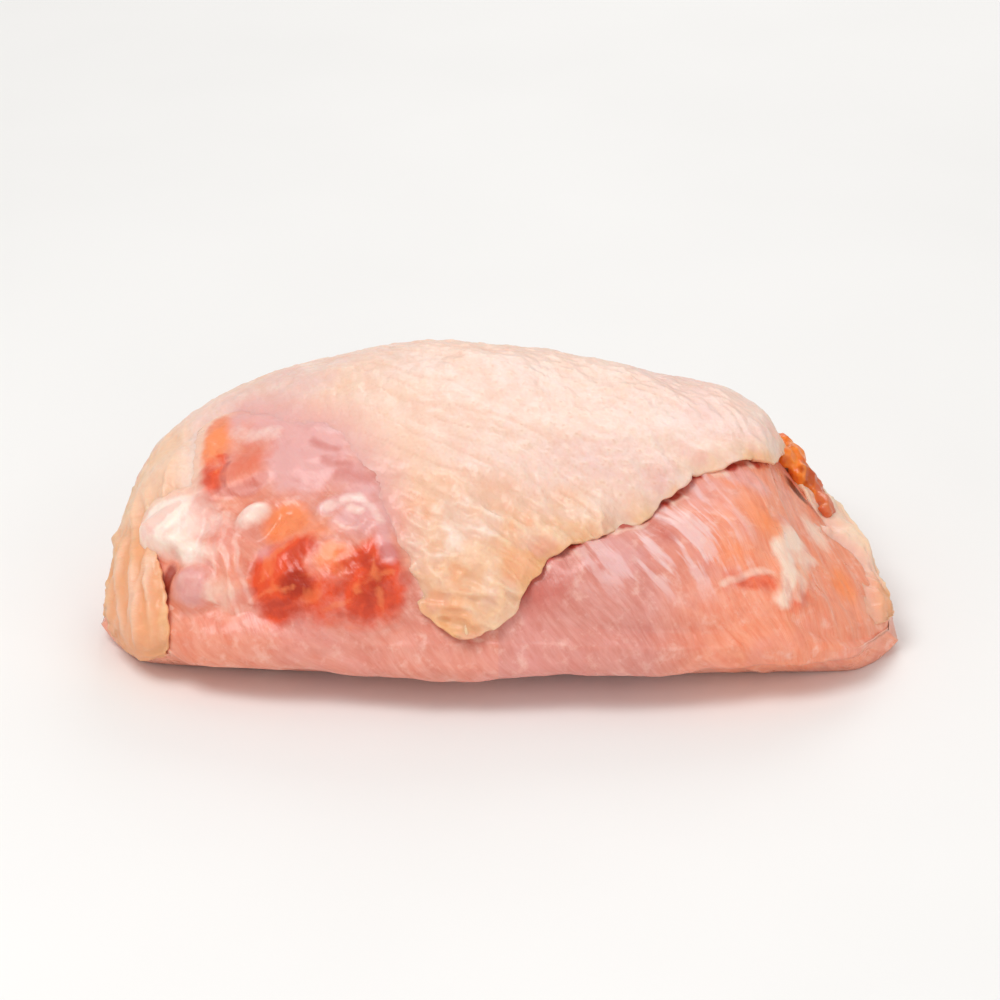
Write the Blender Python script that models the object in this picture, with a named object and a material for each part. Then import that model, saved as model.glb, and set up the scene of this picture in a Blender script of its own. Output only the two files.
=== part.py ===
"""A raw bone-in chicken breast half with its skin on, lying skin side up on its ribs.

+X runs from the shoulder end to the tail end, -Y is the flank that faces the viewer, +Y the keel side, +Z up.
The origin is on the table under the middle of the piece. A place on the piece is an x along it and a girth
in degrees: 0 is the keel side, 90 the crown, 180 the flank. The flesh, the skin and the fat are closed forms
that overlap, and one voxel remesh fuses them, because the meat, fat, skin and bone of the cut are one body.
"""

import math

import bmesh
import bpy
import numpy as np
from mathutils import Vector, noise
from mathutils.geometry import delaunay_2d_cdt

MM = 0.001

# Driving dimensions, in millimetres
LENGTH = 182.0
END_ROUNDING = 14.0
SKIN_THICKNESS = 3.2
SKIN_ROOT = 4.0
SKIN_EDGE_ROLL = 0.6
SKIN_EDGE_WAVE = 0.8
CROWN_POWER = 2.1
BELLY_POWER = 3.0
CROWN_LEAN = 9.0
KEEL_SIDE_SHARE = 0.87
BASE_SINK = 3.0
BELLY_FADE = 50.0
GIRTH_RADIUS = 45.0
KEEL_GIRTH = -27.0
KEEL_BOW = 0.001
KEEL_REACH = (-74.0, 78.0)
RIB_STARTS = (-52.0, -35.0, -18.0, -1.0, 16.0, 32.0)
HOLLOW_MIDDLE = (-2.0, -4.0, -8.0)
HOLLOW_SIZES = (80.0, 38.0, 12.4)
TABLE_SIZES = (140.0, 100.0, 20.0)

# Cross-sections along the piece: x, middle y, width of the flank side, height of the crown, height of the
# widest line. The keel side has a share of the flank side's width.
SECTIONS = (
    (-91.0, -20.0, 15.0, 19.5, 10.0),
    (-78.0, -13.0, 32.0, 36.0, 14.0),
    (-60.0, -7.0, 44.0, 45.5, 15.0),
    (-35.0, -4.0, 51.0, 52.0, 16.0),
    (-10.0, -3.0, 54.0, 54.0, 17.0),
    (15.0, -3.0, 54.0, 50.0, 17.0),
    (40.0, -5.0, 50.0, 45.6, 16.0),
    (60.0, -10.0, 42.0, 41.2, 14.0),
    (70.0, -15.0, 34.0, 29.4, 12.0),
    (80.0, -20.0, 25.0, 20.5, 10.0),
    (91.0, -25.0, 13.0, 15.0, 7.0),
)

# The skin's edge: along the flank, over the tail end, back along the keel, round the shoulder end with a
# pleated strip, and round the opening where the wing was cut off
SKIN_EDGE = (
    (-20.3, 161.0),
    (-15.2, 170.0),
    (-7.5, 176.5),
    (2.0, 171.0),
    (6.0, 161.0),
    (10.0, 154.0),
    (17.0, 146.0),
    (25.0, 140.5),
    (32.0, 136.0),
    (38.5, 127.0),
    (44.0, 116.5),
    (53.0, 111.0),
    (61.0, 102.5),
    (64.0, 90.0),
    (66.0, 74.0),
    (64.0, 52.0),
    (66.0, 28.0),
    (61.0, 6.0),
    (46.0, -5.0),
    (20.0, -9.0),
    (-12.0, -7.0),
    (-44.0, -10.0),
    (-68.0, -2.0),
    (-82.0, 16.0),
    (-87.0, 50.0),
    (-88.0, 90.0),
    (-88.0, 130.0),
    (-88.0, 165.0),
    (-87.5, 188.0),
    (-84.5, 203.0),
    (-78.0, 207.0),
    (-73.0, 200.0),
    (-71.4, 187.0),
    (-71.2, 173.0),
    (-72.0, 161.0),
    (-73.8, 151.0),
    (-76.0, 143.0),
    (-76.8, 135.0),
    (-77.2, 128.0),
    (-76.4, 123.0),
    (-72.0, 124.5),
    (-66.0, 126.0),
    (-63.8, 122.5),
    (-64.4, 112.0),
    (-65.4, 100.0),
    (-64.4, 92.5),
    (-57.5, 98.5),
    (-49.5, 105.5),
    (-40.5, 111.5),
    (-34.8, 121.0),
    (-29.5, 131.5),
    (-25.8, 143.0),
    (-23.4, 153.0),
)

# The edge of the fat that hangs out under the skin and round the tail end
FRINGE_EDGE = (
    (72.0, 107.5),
    (75.5, 101.0),
    (79.5, 98.0),
    (82.0, 107.0),
    (83.0, 119.0),
    (82.6, 133.0),
    (83.0, 148.0),
    (86.4, 161.0),
    (88.5, 150.0),
    (88.8, 132.0),
    (88.6, 112.0),
    (88.0, 92.0),
    (86.5, 70.0),
    (83.0, 48.0),
    (77.0, 34.0),
    (69.0, 28.0),
    (62.0, 34.0),
    (61.0, 60.0),
    (66.0, 70.0),
    (71.5, 80.0),
    (74.6, 91.0),
    (73.0, 101.0),
)
EDGE_STEPS = 5
SKIN_GRID = 4.0
FLESH_STATIONS = 150
FLESH_TURN = 3.0
BARE_SIDE = (70.0, 230.0)
TAIL_PLEATS = (-88.0, -84.4, -80.6, -77.0)

# Lines on the flesh that its raised strands follow
GRISTLE_RIDGE = ((-76.0, 132.0), (-73.0, 140.0), (-68.5, 146.5), (-63.5, 149.0))
TENDON_CURL = (
    (-37.5, 138.5),
    (-33.5, 135.5),
    (-30.2, 135.8),
    (-27.4, 139.0),
    (-25.4, 143.5),
    (-24.4, 149.0),
    (-23.0, 153.5),
)
FILM_EDGE = ((-71.0, 128.0), (-64.0, 129.5), (-58.0, 132.0), (-51.0, 132.5), (-44.0, 133.0), (-38.0, 136.5))
TORN_BAND = ((-65.6, 95.0), (-65.4, 106.0), (-64.6, 118.0), (-64.4, 126.0))
FAT_BAND = ((67.0, 124.0), (64.0, 134.0), (61.0, 144.0), (59.2, 152.0), (57.6, 164.0), (55.0, 176.0))
FAT_BRANCH = ((70.0, 128.0), (67.0, 138.0), (65.0, 150.0), (64.5, 165.0), (61.0, 180.0))
SKIN_PIT = (70.2, 88.0)

VOXEL = 1.1
SMOOTH_ROUNDS = 3
KEPT_SHARE = 0.112


def smooth_between(stations, column, x):
    """A smooth curve through one column of a table of stations."""
    xs = [row[0] for row in stations]
    x = min(max(x, xs[0]), xs[-1])
    i = max(k for k in range(len(xs) - 1) if xs[k] <= x)
    step = xs[i + 1] - xs[i]
    here, there = stations[i][column], stations[i + 1][column]
    rise = there - here
    before = here - stations[i - 1][column] if i > 0 else rise
    before *= step / (xs[i] - xs[i - 1]) if i > 0 else 1.0
    last = i + 2 >= len(xs)
    after = rise if last else (stations[i + 2][column] - there) * step / (xs[i + 2] - xs[i + 1])
    slope_in = (before + rise) / 2
    slope_out = (rise + after) / 2
    t = (x - xs[i]) / step
    return (
        here * (1 + 2 * t) * (1 - t) ** 2
        + there * t * t * (3 - 2 * t)
        + slope_in * t * (1 - t) ** 2
        - slope_out * t * t * (1 - t)
    )


def smooth_step(low, high, value):
    """0 below low, 1 above high, and a smooth rise between them."""
    t = min(max((value - low) / (high - low), 0.0), 1.0)
    return t * t * (3 - 2 * t)


def powered(value, power):
    """The value raised to a power, with its sign kept."""
    return math.copysign(abs(value) ** power, value)


def body_point(x, girth):
    """The outer surface in millimetres, at x and degrees of girth."""
    middle, half, crown, waist = (smooth_between(SECTIONS, column, x) for column in range(1, 5))
    past = max(0.0, abs(x) - (LENGTH / 2 - END_ROUNDING)) / END_ROUNDING
    shrink = max(0.0, 1 - past * past) ** (1 / CROWN_POWER)
    across, high = math.cos(math.radians(girth)), math.sin(math.radians(girth))
    side = half * (KEEL_SIDE_SHARE if across > 0 else 1.0)
    y = middle + side * shrink * powered(across, 2 / CROWN_POWER)
    if high < 0:
        belly = (waist + BASE_SINK) * shrink
        return Vector((x, y, waist + belly * powered(high, 2 / BELLY_POWER)))
    lift = shrink * powered(high, 2 / CROWN_POWER)
    return Vector((x, y + CROWN_LEAN * lift, waist + (crown - waist) * lift))


def body_normal(x, girth):
    """The outward normal of the outer surface."""
    along = body_point(x + 0.5, girth) - body_point(x - 0.5, girth)
    round_it = body_point(x, girth + 0.8) - body_point(x, girth - 0.8)
    return along.cross(round_it).normalized() * -1


def on_body(x, girth, out=0.0):
    """A point off the outer surface by the given distance, outward if positive."""
    return body_point(x, girth) + body_normal(x, girth) * out


def add_faces(name, points, faces):
    """A mesh object from points in millimetres, its faces turned outward."""
    mesh = bpy.data.meshes.new(name)
    mesh.from_pydata([tuple(p * MM for p in point) for point in points], [], faces)
    bm = bmesh.new()
    bm.from_mesh(mesh)
    bmesh.ops.recalc_face_normals(bm, faces=bm.faces)
    bm.to_mesh(mesh)
    bm.free()
    form = bpy.data.objects.new(name, mesh)
    bpy.context.scene.collection.objects.link(form)
    return form


def tube_of_rings(name, rings):
    """A closed form from rings of points, with a flat cap at each end."""
    count = len(rings[0])
    points = [point for ring in rings for point in ring]
    faces = [
        (
            r * count + k,
            r * count + (k + 1) % count,
            (r + 1) * count + (k + 1) % count,
            (r + 1) * count + k,
        )
        for r in range(len(rings) - 1)
        for k in range(count)
    ]
    faces.append(tuple(range(count)))
    faces.append(tuple(range((len(rings) - 1) * count, len(rings) * count)))
    return add_faces(name, points, faces)


def bare_depth(girth):
    """How far the bare meat lies inside the outer surface: a skin's thickness, and nothing underneath."""
    below = max(0.0, -girth, girth - 180.0) / BELLY_FADE
    return SKIN_THICKNESS * (1 - min(below, 1.0) ** 2)


def girth_to_flat(girth):
    """Degrees of girth as millimetres round the piece."""
    return math.radians(girth - 90.0) * GIRTH_RADIUS


def flat_to_girth(distance):
    """Millimetres round the piece as degrees of girth."""
    return math.degrees(distance / GIRTH_RADIUS) + 90.0


def spot(x, girth, middle, sizes, turn=0.0, power=3.0):
    """A rounded form on the surface: 1 at its middle, 0.37 at its rim. Its sizes are half its length and
    half its width in millimetres, and turn is in degrees."""
    along, round_it = x - middle[0], girth_to_flat(girth) - girth_to_flat(middle[1])
    c, s = math.cos(math.radians(turn)), math.sin(math.radians(turn))
    reach = math.hypot((along * c + round_it * s) / sizes[0], (round_it * c - along * s) / sizes[1])
    return math.exp(-(reach**power))


def ridge(x, girth, path, width):
    """A rounded ridge along a path of places on the surface: 1 on the path, 0.37 at its width."""
    here = Vector((x, girth_to_flat(girth)))
    places = [Vector((px, girth_to_flat(turn))) for px, turn in path]
    nearest = min(distance_to_side(start, end, here) for start, end in zip(places, places[1:]))
    return math.exp(-((nearest / width) ** 2))


def soft_highest(*heights):
    """The highest of several heights, with soft joins."""
    return sum(max(height, 0.0) ** 4 for height in heights) ** 0.25


def shoulder_joint(x, girth):
    """What shows where the wing was cut off: gristle, cartilage, a curl of tendon, and meat round them."""
    height = soft_highest(
        5.4 * spot(x, girth, (-36.0, 157.0), (17.0, 14.5), -4, 3.4),
        4.2 * spot(x, girth, (-72.0, 135.0), (9.0, 9.5)),
        5.0 * spot(x, girth, (-66.8, 158.5), (4.8, 6.8), 15),
        5.8 * spot(x, girth, (-53.4, 138.0), (4.6, 3.7), -38),
        2.6 * spot(x, girth, (-54.5, 120.5), (8.0, 6.0), 0, 2.6),
        2.8 * spot(x, girth, (-41.0, 117.0), (12.0, 12.0), 20, 2.4),
        3.6 * spot(x, girth, (-58.0, 152.0), (6.5, 13.0), -8, 2.6),
    )
    height += 1.6 * ridge(x, girth, GRISTLE_RIDGE, 2.6)
    height += 1.6 * ridge(x, girth, TENDON_CURL, 2.0)
    height += 0.8 * ridge(x, girth, FILM_EDGE, 2.2)
    height += 1.5 * ridge(x, girth, TORN_BAND, 2.0)
    return height - 2.2 * spot(x, girth, (-71.6, 157.0), (2.0, 6.0), 10)


def tail_meat(x, girth):
    """The breast's own meat, bare beyond the skin, with bands of fat across its thin end."""
    height = soft_highest(
        3.4 * spot(x, girth, (32.0, 150.0), (35.0, 18.0), 16, 3.4),
        3.0 * spot(x, girth, (66.0, 158.0), (12.0, 13.0), -12),
    )
    return height + 0.8 * ridge(x, girth, FAT_BAND, 2.2) + 0.6 * ridge(x, girth, FAT_BRANCH, 1.8)


def flank_bundles(x, girth):
    """Bundles of meat over the ribs, low on the flank."""
    return soft_highest(
        4.2 * spot(x, girth, (-56.0, 185.0), (26.0, 10.0), -8),
        4.4 * spot(x, girth, (-14.0, 189.0), (32.0, 9.0), 4),
        4.2 * spot(x, girth, (30.0, 187.0), (28.0, 9.0), -5),
        3.8 * spot(x, girth, (64.0, 180.0), (16.0, 9.0), 10),
    )


def bare_forms(x, girth):
    """The height of the forms that show on the flank and at the shoulder, with a pit at the skin's corner."""
    if not BARE_SIDE[0] < girth < BARE_SIDE[1]:
        return 0.0
    height = soft_highest(shoulder_joint(x, girth), tail_meat(x, girth), flank_bundles(x, girth))
    return height - 3.4 * spot(x, girth, SKIN_PIT, (2.4, 3.2), 20, 2.0)


def flesh():
    """The meat and bone of the breast, a skin's thickness inside the outer surface, with its bare forms."""
    rings = []
    for x in np.linspace(-LENGTH / 2 + 1.0, LENGTH / 2 - 0.6, FLESH_STATIONS):
        ring = []
        for girth in np.arange(-90, 270, FLESH_TURN):
            ring.append(on_body(x, girth, bare_forms(x, girth) - bare_depth(girth)))
        rings.append(ring)
    return tube_of_rings("flesh", rings)


def closed_curve(points, steps):
    """A smooth closed curve through points of a plane, with a few steps between two of them."""
    curve = []
    count = len(points)
    for i in range(count):
        a, b, c, d = (Vector(points[(i + k) % count]) for k in (-1, 0, 1, 2))
        for k in range(steps):
            t = k / steps
            curve.append(
                0.5
                * (
                    2 * b
                    + (c - a) * t
                    + (2 * a - 5 * b + 4 * c - d) * t * t
                    + (3 * b - a - 3 * c + d) * t * t * t
                )
            )
    return curve


def distance_to_side(start, end, point):
    """The distance from a point to a straight side."""
    side = end - start
    share = max(0.0, min(1.0, (point - start).dot(side) / side.length_squared))
    return (start + side * share - point).length


def distance_to(curve, point):
    """The distance from a point to the nearest point of a closed curve."""
    return min(distance_to_side(start, end, point) for start, end in zip(curve, curve[1:] + curve[:1]))


def window_edge(x, girth):
    """How far the skin melts into the flesh there: 1 round the shoulder opening, 0 elsewhere."""
    lowest = 166 - 28 * smooth_step(-66, -72, x)
    near = smooth_step(-84, -79, x) * smooth_step(-12, -22, x)
    return near * smooth_step(84, 91, girth) * smooth_step(lowest + 12, lowest - 8, girth)


def tail_pleats(x, girth):
    """How far the pleats of loose skin stand out at the low corner of the shoulder end."""
    height = 0.0
    for index, middle in enumerate(TAIL_PLEATS):
        centre = middle + 0.9 * math.sin(math.radians(girth) * 7 + 2.1 * index)
        share = smooth_step(98, 124, girth) * smooth_step(192, 170, girth)
        height = max(height, 2.0 * share * math.exp(-(((x - centre) / 1.4) ** 2)))
    return height


def skin_level(x, girth, inside):
    """How far the skin stands off the outer surface: low folds, pleats, and a rolled rim along its edge,
    which thins out where it ends free and dips into the flesh where it melts into it."""
    fold = noise.noise(Vector((x * 0.045, girth * 0.035, 2.7))) * 0.9
    ripple = noise.noise(Vector((x * 0.13, girth * 0.10, 7.1))) * 0.5
    rim = math.exp(-((inside - 2.2) / 2.2) ** 2) * SKIN_EDGE_ROLL
    ruffle = 0.6 + 0.8 * noise.noise(Vector((x * 0.22, girth * 0.16, 4.4)))
    melt = window_edge(x, girth)
    dip = 2.0 * melt * math.exp(-((inside / 6.0) ** 2))
    dip += 1.4 * (1 - melt) * math.exp(-((inside / 3.4) ** 2))
    pleats = tail_pleats(x, girth) * smooth_step(0.0, 3.0, inside)
    return fold + ripple + rim * ruffle + pleats - dip


def fringe_level(x, girth, inside):
    """How far the fat at the tail end stands off the outer surface: uneven folds, lower at its edge."""
    fold = noise.noise(Vector((x * 0.20, girth * 0.06, 9.3))) * 1.4
    return fold - 2.2 + 2.0 * smooth_step(0.0, 4.0, inside)


def sheet(name, places, level):
    """A thick sheet on the outer surface, bounded by an uneven curve through places on it."""
    edge = closed_curve([(x, girth_to_flat(girth)) for x, girth in places], EDGE_STEPS)
    for point in edge:
        wave = noise.noise_vector(Vector((point.x * 0.11, point.y * 0.11, 1.3)))
        point += Vector((wave.x, wave.y)) * SKIN_EDGE_WAVE
    low, high = (Vector([pick(point[axis] for point in edge) for axis in range(2)]) for pick in (min, max))
    flat = list(edge)
    for x in np.arange(low.x, high.x, SKIN_GRID):
        for distance in np.arange(low.y, high.y, SKIN_GRID):
            flat.append(Vector((x, distance)))
    count = len(edge)
    sides = [(i, (i + 1) % count) for i in range(count)]
    corners, _, triangles, _, _, _ = delaunay_2d_cdt(flat, sides, [tuple(range(count))], 2, 1e-5)
    size = len(corners)
    outer, root = [], []
    for corner in corners:
        girth = flat_to_girth(corner[1])
        inside = distance_to(edge, corner)
        outer.append(on_body(corner[0], girth, level(corner[0], girth, inside)))
        root.append(on_body(corner[0], girth, -SKIN_THICKNESS - SKIN_ROOT))
    faces = [tuple(t) for t in triangles]
    faces += [tuple(size + i for i in reversed(t)) for t in triangles]
    uses = {}
    for triangle in triangles:
        for k in range(3):
            side = (triangle[k], triangle[(k + 1) % 3])
            uses[tuple(sorted(side))] = None if tuple(sorted(side)) in uses else side
    faces += [(b, a, size + a, size + b) for a, b in filter(None, uses.values())]
    return add_faces(name, outer + root, faces)


def skin():
    """The skin with the fat under it: over the crown, with a lobe on the flank and a strip at the shoulder."""
    return sheet("skin", SKIN_EDGE, skin_level)


def fat_fringe():
    """The fat that hangs out from under the skin round the tail end."""
    return sheet("fat_fringe", FRINGE_EDGE, fringe_level)


def lump(name, x, girth, out, sizes, turn=0.0, rough=0.0):
    """An uneven rounded lump on the surface. Its sizes are half its length along the piece, half its width
    round it and half its height, and turn is in degrees about the surface normal."""
    up = body_normal(x, girth)
    along = Vector((1, 0, 0)) - up * up.x
    along.normalize()
    side = up.cross(along)
    turned = along * math.cos(math.radians(turn)) + side * math.sin(math.radians(turn))
    side = up.cross(turned)
    middle = on_body(x, girth, out)
    bm = bmesh.new()
    bmesh.ops.create_icosphere(bm, subdivisions=3, radius=1.0)
    for vert in bm.verts:
        swell = 1 + rough * noise.noise(vert.co * 2.3 + middle * 0.13)
        vert.co = (
            middle
            + turned * vert.co.x * sizes[0] * swell
            + side * vert.co.y * sizes[1] * swell
            + up * vert.co.z * sizes[2] * swell
        ) * MM
    mesh = bpy.data.meshes.new(name)
    bm.to_mesh(mesh)
    bm.free()
    form = bpy.data.objects.new(name, mesh)
    bpy.context.scene.collection.objects.link(form)
    return form


def tapered(count, radius, swing=0.0, pace=1.3):
    """The radii of a strand with fine ends and an uneven girth."""
    radii = []
    for k in range(count):
        from_middle = abs(2 * k / (count - 1) - 1)
        radii.append((radius + swing * math.sin(k * pace)) * max(0.12, 1 - from_middle**5))
    return radii


def cord(name, points, radii, squash=1.0):
    """A round or flattened strand through points in millimetres, with its own radius at each."""
    rings = []
    for i, point in enumerate(points):
        ahead = points[min(i + 1, len(points) - 1)] - points[max(i - 1, 0)]
        ahead.normalize()
        side = ahead.cross(Vector((0, 0, 1))).normalized()
        up = side.cross(ahead)
        rings.append(
            [
                point + side * math.cos(t) * radii[i] + up * math.sin(t) * radii[i] * squash
                for t in np.arange(12) * math.tau / 12
            ]
        )
    return tube_of_rings(name, rings)


def curve_through(points, steps):
    """A smooth open curve through points of space."""
    padded = [points[0] * 2 - points[1], *points, points[-1] * 2 - points[-2]]
    curve = []
    for i in range(len(points) - 1):
        a, b, c, d = padded[i : i + 4]
        for k in range(steps):
            t = k / steps
            curve.append(
                0.5
                * (
                    2 * b
                    + (c - a) * t
                    + (2 * a - 5 * b + 4 * c - d) * t * t
                    + (3 * b - a - 3 * c + d) * t * t * t
                )
            )
    return [*curve, points[-1]]


def fat_clump():
    """The clump of fat at the skin's corner."""
    yield lump("fat_clump_1", 66.0, 61, -0.8, (2.6, 3.0, 2.2), 20, 0.5)
    yield lump("fat_clump_2", 67.8, 68, -0.8, (3.6, 3.4, 2.8), -30, 0.5)
    yield lump("fat_clump_3", 70.2, 74, -1.0, (3.8, 3.0, 2.6), 10, 0.5)
    yield lump("fat_clump_4", 73.0, 70, -1.4, (2.8, 2.8, 2.2), 60, 0.5)
    yield lump("fat_clump_5", 66.6, 77, -1.8, (2.6, 2.6, 2.0), -20, 0.5)
    yield lump("fat_clump_6", 75.4, 84, -1.6, (2.8, 2.0, 1.6), 50, 0.4)


def keel():
    """The breastbone's cut edge with its cartilage, along the far side of the base."""
    path = [on_body(x, KEEL_GIRTH - KEEL_BOW * x * x, -2.6) for x in np.linspace(*KEEL_REACH, 34)]
    yield cord("keel_bone", path, tapered(len(path), 4.8, 0.35, 1.1), 0.85)


def ribs():
    """Six ribs across the hollow of the underside, from the flank to the breastbone."""
    for index, x in enumerate(RIB_STARTS):
        path = curve_through(
            [
                Vector((x - 6.0, -36.0, 3.2)),
                Vector((x - 3.0, -22.0, 3.0)),
                Vector((x + 1.0, -6.0, 3.2)),
                Vector((x + 7.0, 10.0, 3.4)),
                Vector((x + 14.0, 25.0, 3.6)),
            ],
            6,
        )
        yield cord(f"rib_{index + 1}", path, tapered(len(path), 2.7), 0.9)


def unit_ball():
    """The bmesh of a ball of radius 1."""
    bm = bmesh.new()
    bmesh.ops.create_uvsphere(bm, u_segments=40, v_segments=20, radius=1.0)
    return bm


def unit_block():
    """The bmesh of a block that reaches 1 each way from its middle."""
    bm = bmesh.new()
    bmesh.ops.create_cube(bm, size=2.0)
    return bm


def cutter(name, bm, middle, sizes):
    """A form of the given half sizes that takes material away, and isn't part of the model."""
    for vert in bm.verts:
        vert.co = Vector([(m + c * s) * MM for m, c, s in zip(middle, vert.co, sizes)])
    mesh = bpy.data.meshes.new(name)
    bm.to_mesh(mesh)
    bm.free()
    block = bpy.data.objects.new(name, mesh)
    block.hide_render = True
    block.display_type = "WIRE"
    bpy.context.scene.collection.objects.link(block)
    return block


def raw_chicken_material():
    """Moist pale skin over pink meat."""
    material = bpy.data.materials.new("raw_chicken")
    material.use_nodes = True
    surface = material.node_tree.nodes["Principled BSDF"]
    surface.inputs["Base Color"].default_value = (0.93, 0.66, 0.52, 1)
    surface.inputs["Roughness"].default_value = 0.42
    surface.inputs["Metallic"].default_value = 0.0
    return material


def bake(form):
    """Makes the form's modifiers part of its mesh for good."""
    depsgraph = bpy.context.evaluated_depsgraph_get()
    form.data = bpy.data.meshes.new_from_object(form.evaluated_get(depsgraph))
    form.modifiers.clear()


def subtract(target, tool):
    """Cuts the tool from the target, and removes the tool."""
    cut = target.modifiers.new(tool.name, "BOOLEAN")
    cut.operation = "DIFFERENCE"
    cut.object = tool
    bake(target)
    bpy.data.objects.remove(tool)


def fuse(name, forms):
    """Joins the forms in one mesh, and makes one body of it that has an even, soft surface."""
    bm = bmesh.new()
    for form in forms:
        bm.from_mesh(form.data)
        bpy.data.objects.remove(form)
    mesh = bpy.data.meshes.new(name)
    bm.to_mesh(mesh)
    bm.free()
    whole = bpy.data.objects.new(name, mesh)
    bpy.context.scene.collection.objects.link(whole)
    remesh = whole.modifiers.new("fuse", "REMESH")
    remesh.mode = "VOXEL"
    remesh.voxel_size = VOXEL * MM
    smooth = whole.modifiers.new("soften", "SMOOTH")
    smooth.factor = 0.5
    smooth.iterations = SMOOTH_ROUNDS
    thin = whole.modifiers.new("thin", "DECIMATE")
    thin.ratio = KEPT_SHARE
    bake(whole)
    return whole


def centre_over_origin(form):
    """Moves the form level, so that the origin is under the middle of its outline."""
    low = [min(vert.co[i] for vert in form.data.vertices) for i in range(2)]
    high = [max(vert.co[i] for vert in form.data.vertices) for i in range(2)]
    for vert in form.data.vertices:
        for i in range(2):
            vert.co[i] -= (low[i] + high[i]) / 2


def main():
    for old in list(bpy.data.objects):
        bpy.data.objects.remove(old)
    meat = flesh()
    subtract(meat, cutter("rib_hollow", unit_ball(), HOLLOW_MIDDLE, HOLLOW_SIZES))
    forms = [meat, skin(), fat_fringe()]
    for group in (fat_clump, keel, ribs):
        forms.extend(group())
    breast = fuse("chicken_breast", forms)
    below_table = (0.0, 0.0, -TABLE_SIZES[2])
    subtract(breast, cutter("below_table", unit_block(), below_table, TABLE_SIZES))
    centre_over_origin(breast)
    breast.data.materials.clear()
    breast.data.materials.append(raw_chicken_material())


main()
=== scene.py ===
"""The looks of a raw bone-in chicken breast half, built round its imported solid.

Lengths are in millimetres until a mesh is made. The skin and the flesh follow the same outer surface as the
solid: a place on it is an x along the piece and a girth in degrees, 0 on the keel side, 90 on the crown and
180 on the flank that faces the camera.
"""

import math

import bmesh
import bpy
import numpy as np
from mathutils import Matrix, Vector, kdtree, noise
from mathutils.geometry import delaunay_2d_cdt


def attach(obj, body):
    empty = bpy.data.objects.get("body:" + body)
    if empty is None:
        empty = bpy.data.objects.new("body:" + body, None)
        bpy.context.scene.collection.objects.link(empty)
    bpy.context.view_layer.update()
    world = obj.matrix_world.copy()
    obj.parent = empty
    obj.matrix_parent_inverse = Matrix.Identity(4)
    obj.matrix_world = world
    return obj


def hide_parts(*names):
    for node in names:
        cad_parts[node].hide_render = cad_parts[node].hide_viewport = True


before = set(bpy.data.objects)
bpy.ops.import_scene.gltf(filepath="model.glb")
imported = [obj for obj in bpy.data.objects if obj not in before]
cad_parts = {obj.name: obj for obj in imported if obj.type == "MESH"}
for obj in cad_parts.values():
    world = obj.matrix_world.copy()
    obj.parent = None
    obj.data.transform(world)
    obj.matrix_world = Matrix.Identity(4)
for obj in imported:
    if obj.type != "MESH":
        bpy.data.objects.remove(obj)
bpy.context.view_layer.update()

MM = 0.001
NODE = "chicken_breast"

# The outer surface, as in the solid
LENGTH = 182.0
END_ROUNDING = 14.0
SKIN_THICKNESS = 3.2
SKIN_EDGE_ROLL = 0.6
SKIN_EDGE_WAVE = 0.8
CROWN_POWER = 2.1
BELLY_POWER = 3.0
CROWN_LEAN = 9.0
KEEL_SIDE_SHARE = 0.87
BASE_SINK = 3.0
BELLY_FADE = 50.0
GIRTH_RADIUS = 45.0
OUTLINE_MIDDLE = (0.262, -5.961)
SECTIONS = np.array(
    (
        (-91.0, -20.0, 15.0, 19.5, 10.0),
        (-78.0, -13.0, 32.0, 36.0, 14.0),
        (-60.0, -7.0, 44.0, 45.5, 15.0),
        (-35.0, -4.0, 51.0, 52.0, 16.0),
        (-10.0, -3.0, 54.0, 54.0, 17.0),
        (15.0, -3.0, 54.0, 50.0, 17.0),
        (40.0, -5.0, 50.0, 45.6, 16.0),
        (60.0, -10.0, 42.0, 41.2, 14.0),
        (70.0, -15.0, 34.0, 29.4, 12.0),
        (80.0, -20.0, 25.0, 20.5, 10.0),
        (91.0, -25.0, 13.0, 15.0, 7.0),
    )
)
SKIN_EDGE = (
    (-20.3, 161.0),
    (-15.2, 170.0),
    (-7.5, 176.5),
    (2.0, 171.0),
    (6.0, 161.0),
    (10.0, 154.0),
    (17.0, 146.0),
    (25.0, 140.5),
    (32.0, 136.0),
    (38.5, 127.0),
    (44.0, 116.5),
    (53.0, 111.0),
    (61.0, 102.5),
    (64.0, 90.0),
    (66.0, 74.0),
    (64.0, 52.0),
    (66.0, 28.0),
    (61.0, 6.0),
    (46.0, -5.0),
    (20.0, -9.0),
    (-12.0, -7.0),
    (-44.0, -10.0),
    (-68.0, -2.0),
    (-82.0, 16.0),
    (-87.0, 50.0),
    (-88.0, 90.0),
    (-88.6, 130.0),
    (-89.0, 165.0),
    (-89.0, 190.0),
    (-87.0, 206.0),
    (-79.0, 209.0),
    (-73.6, 200.0),
    (-72.4, 187.0),
    (-72.6, 173.0),
    (-73.4, 161.0),
    (-74.8, 151.0),
    (-76.0, 143.0),
    (-76.8, 135.0),
    (-77.2, 128.0),
    (-76.4, 123.0),
    (-72.0, 124.5),
    (-66.0, 126.0),
    (-63.8, 122.5),
    (-64.4, 112.0),
    (-65.4, 100.0),
    (-64.4, 92.5),
    (-57.5, 98.5),
    (-49.5, 105.5),
    (-40.5, 111.5),
    (-34.8, 121.0),
    (-29.5, 131.5),
    (-25.8, 143.0),
    (-23.4, 153.0),
)
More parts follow.
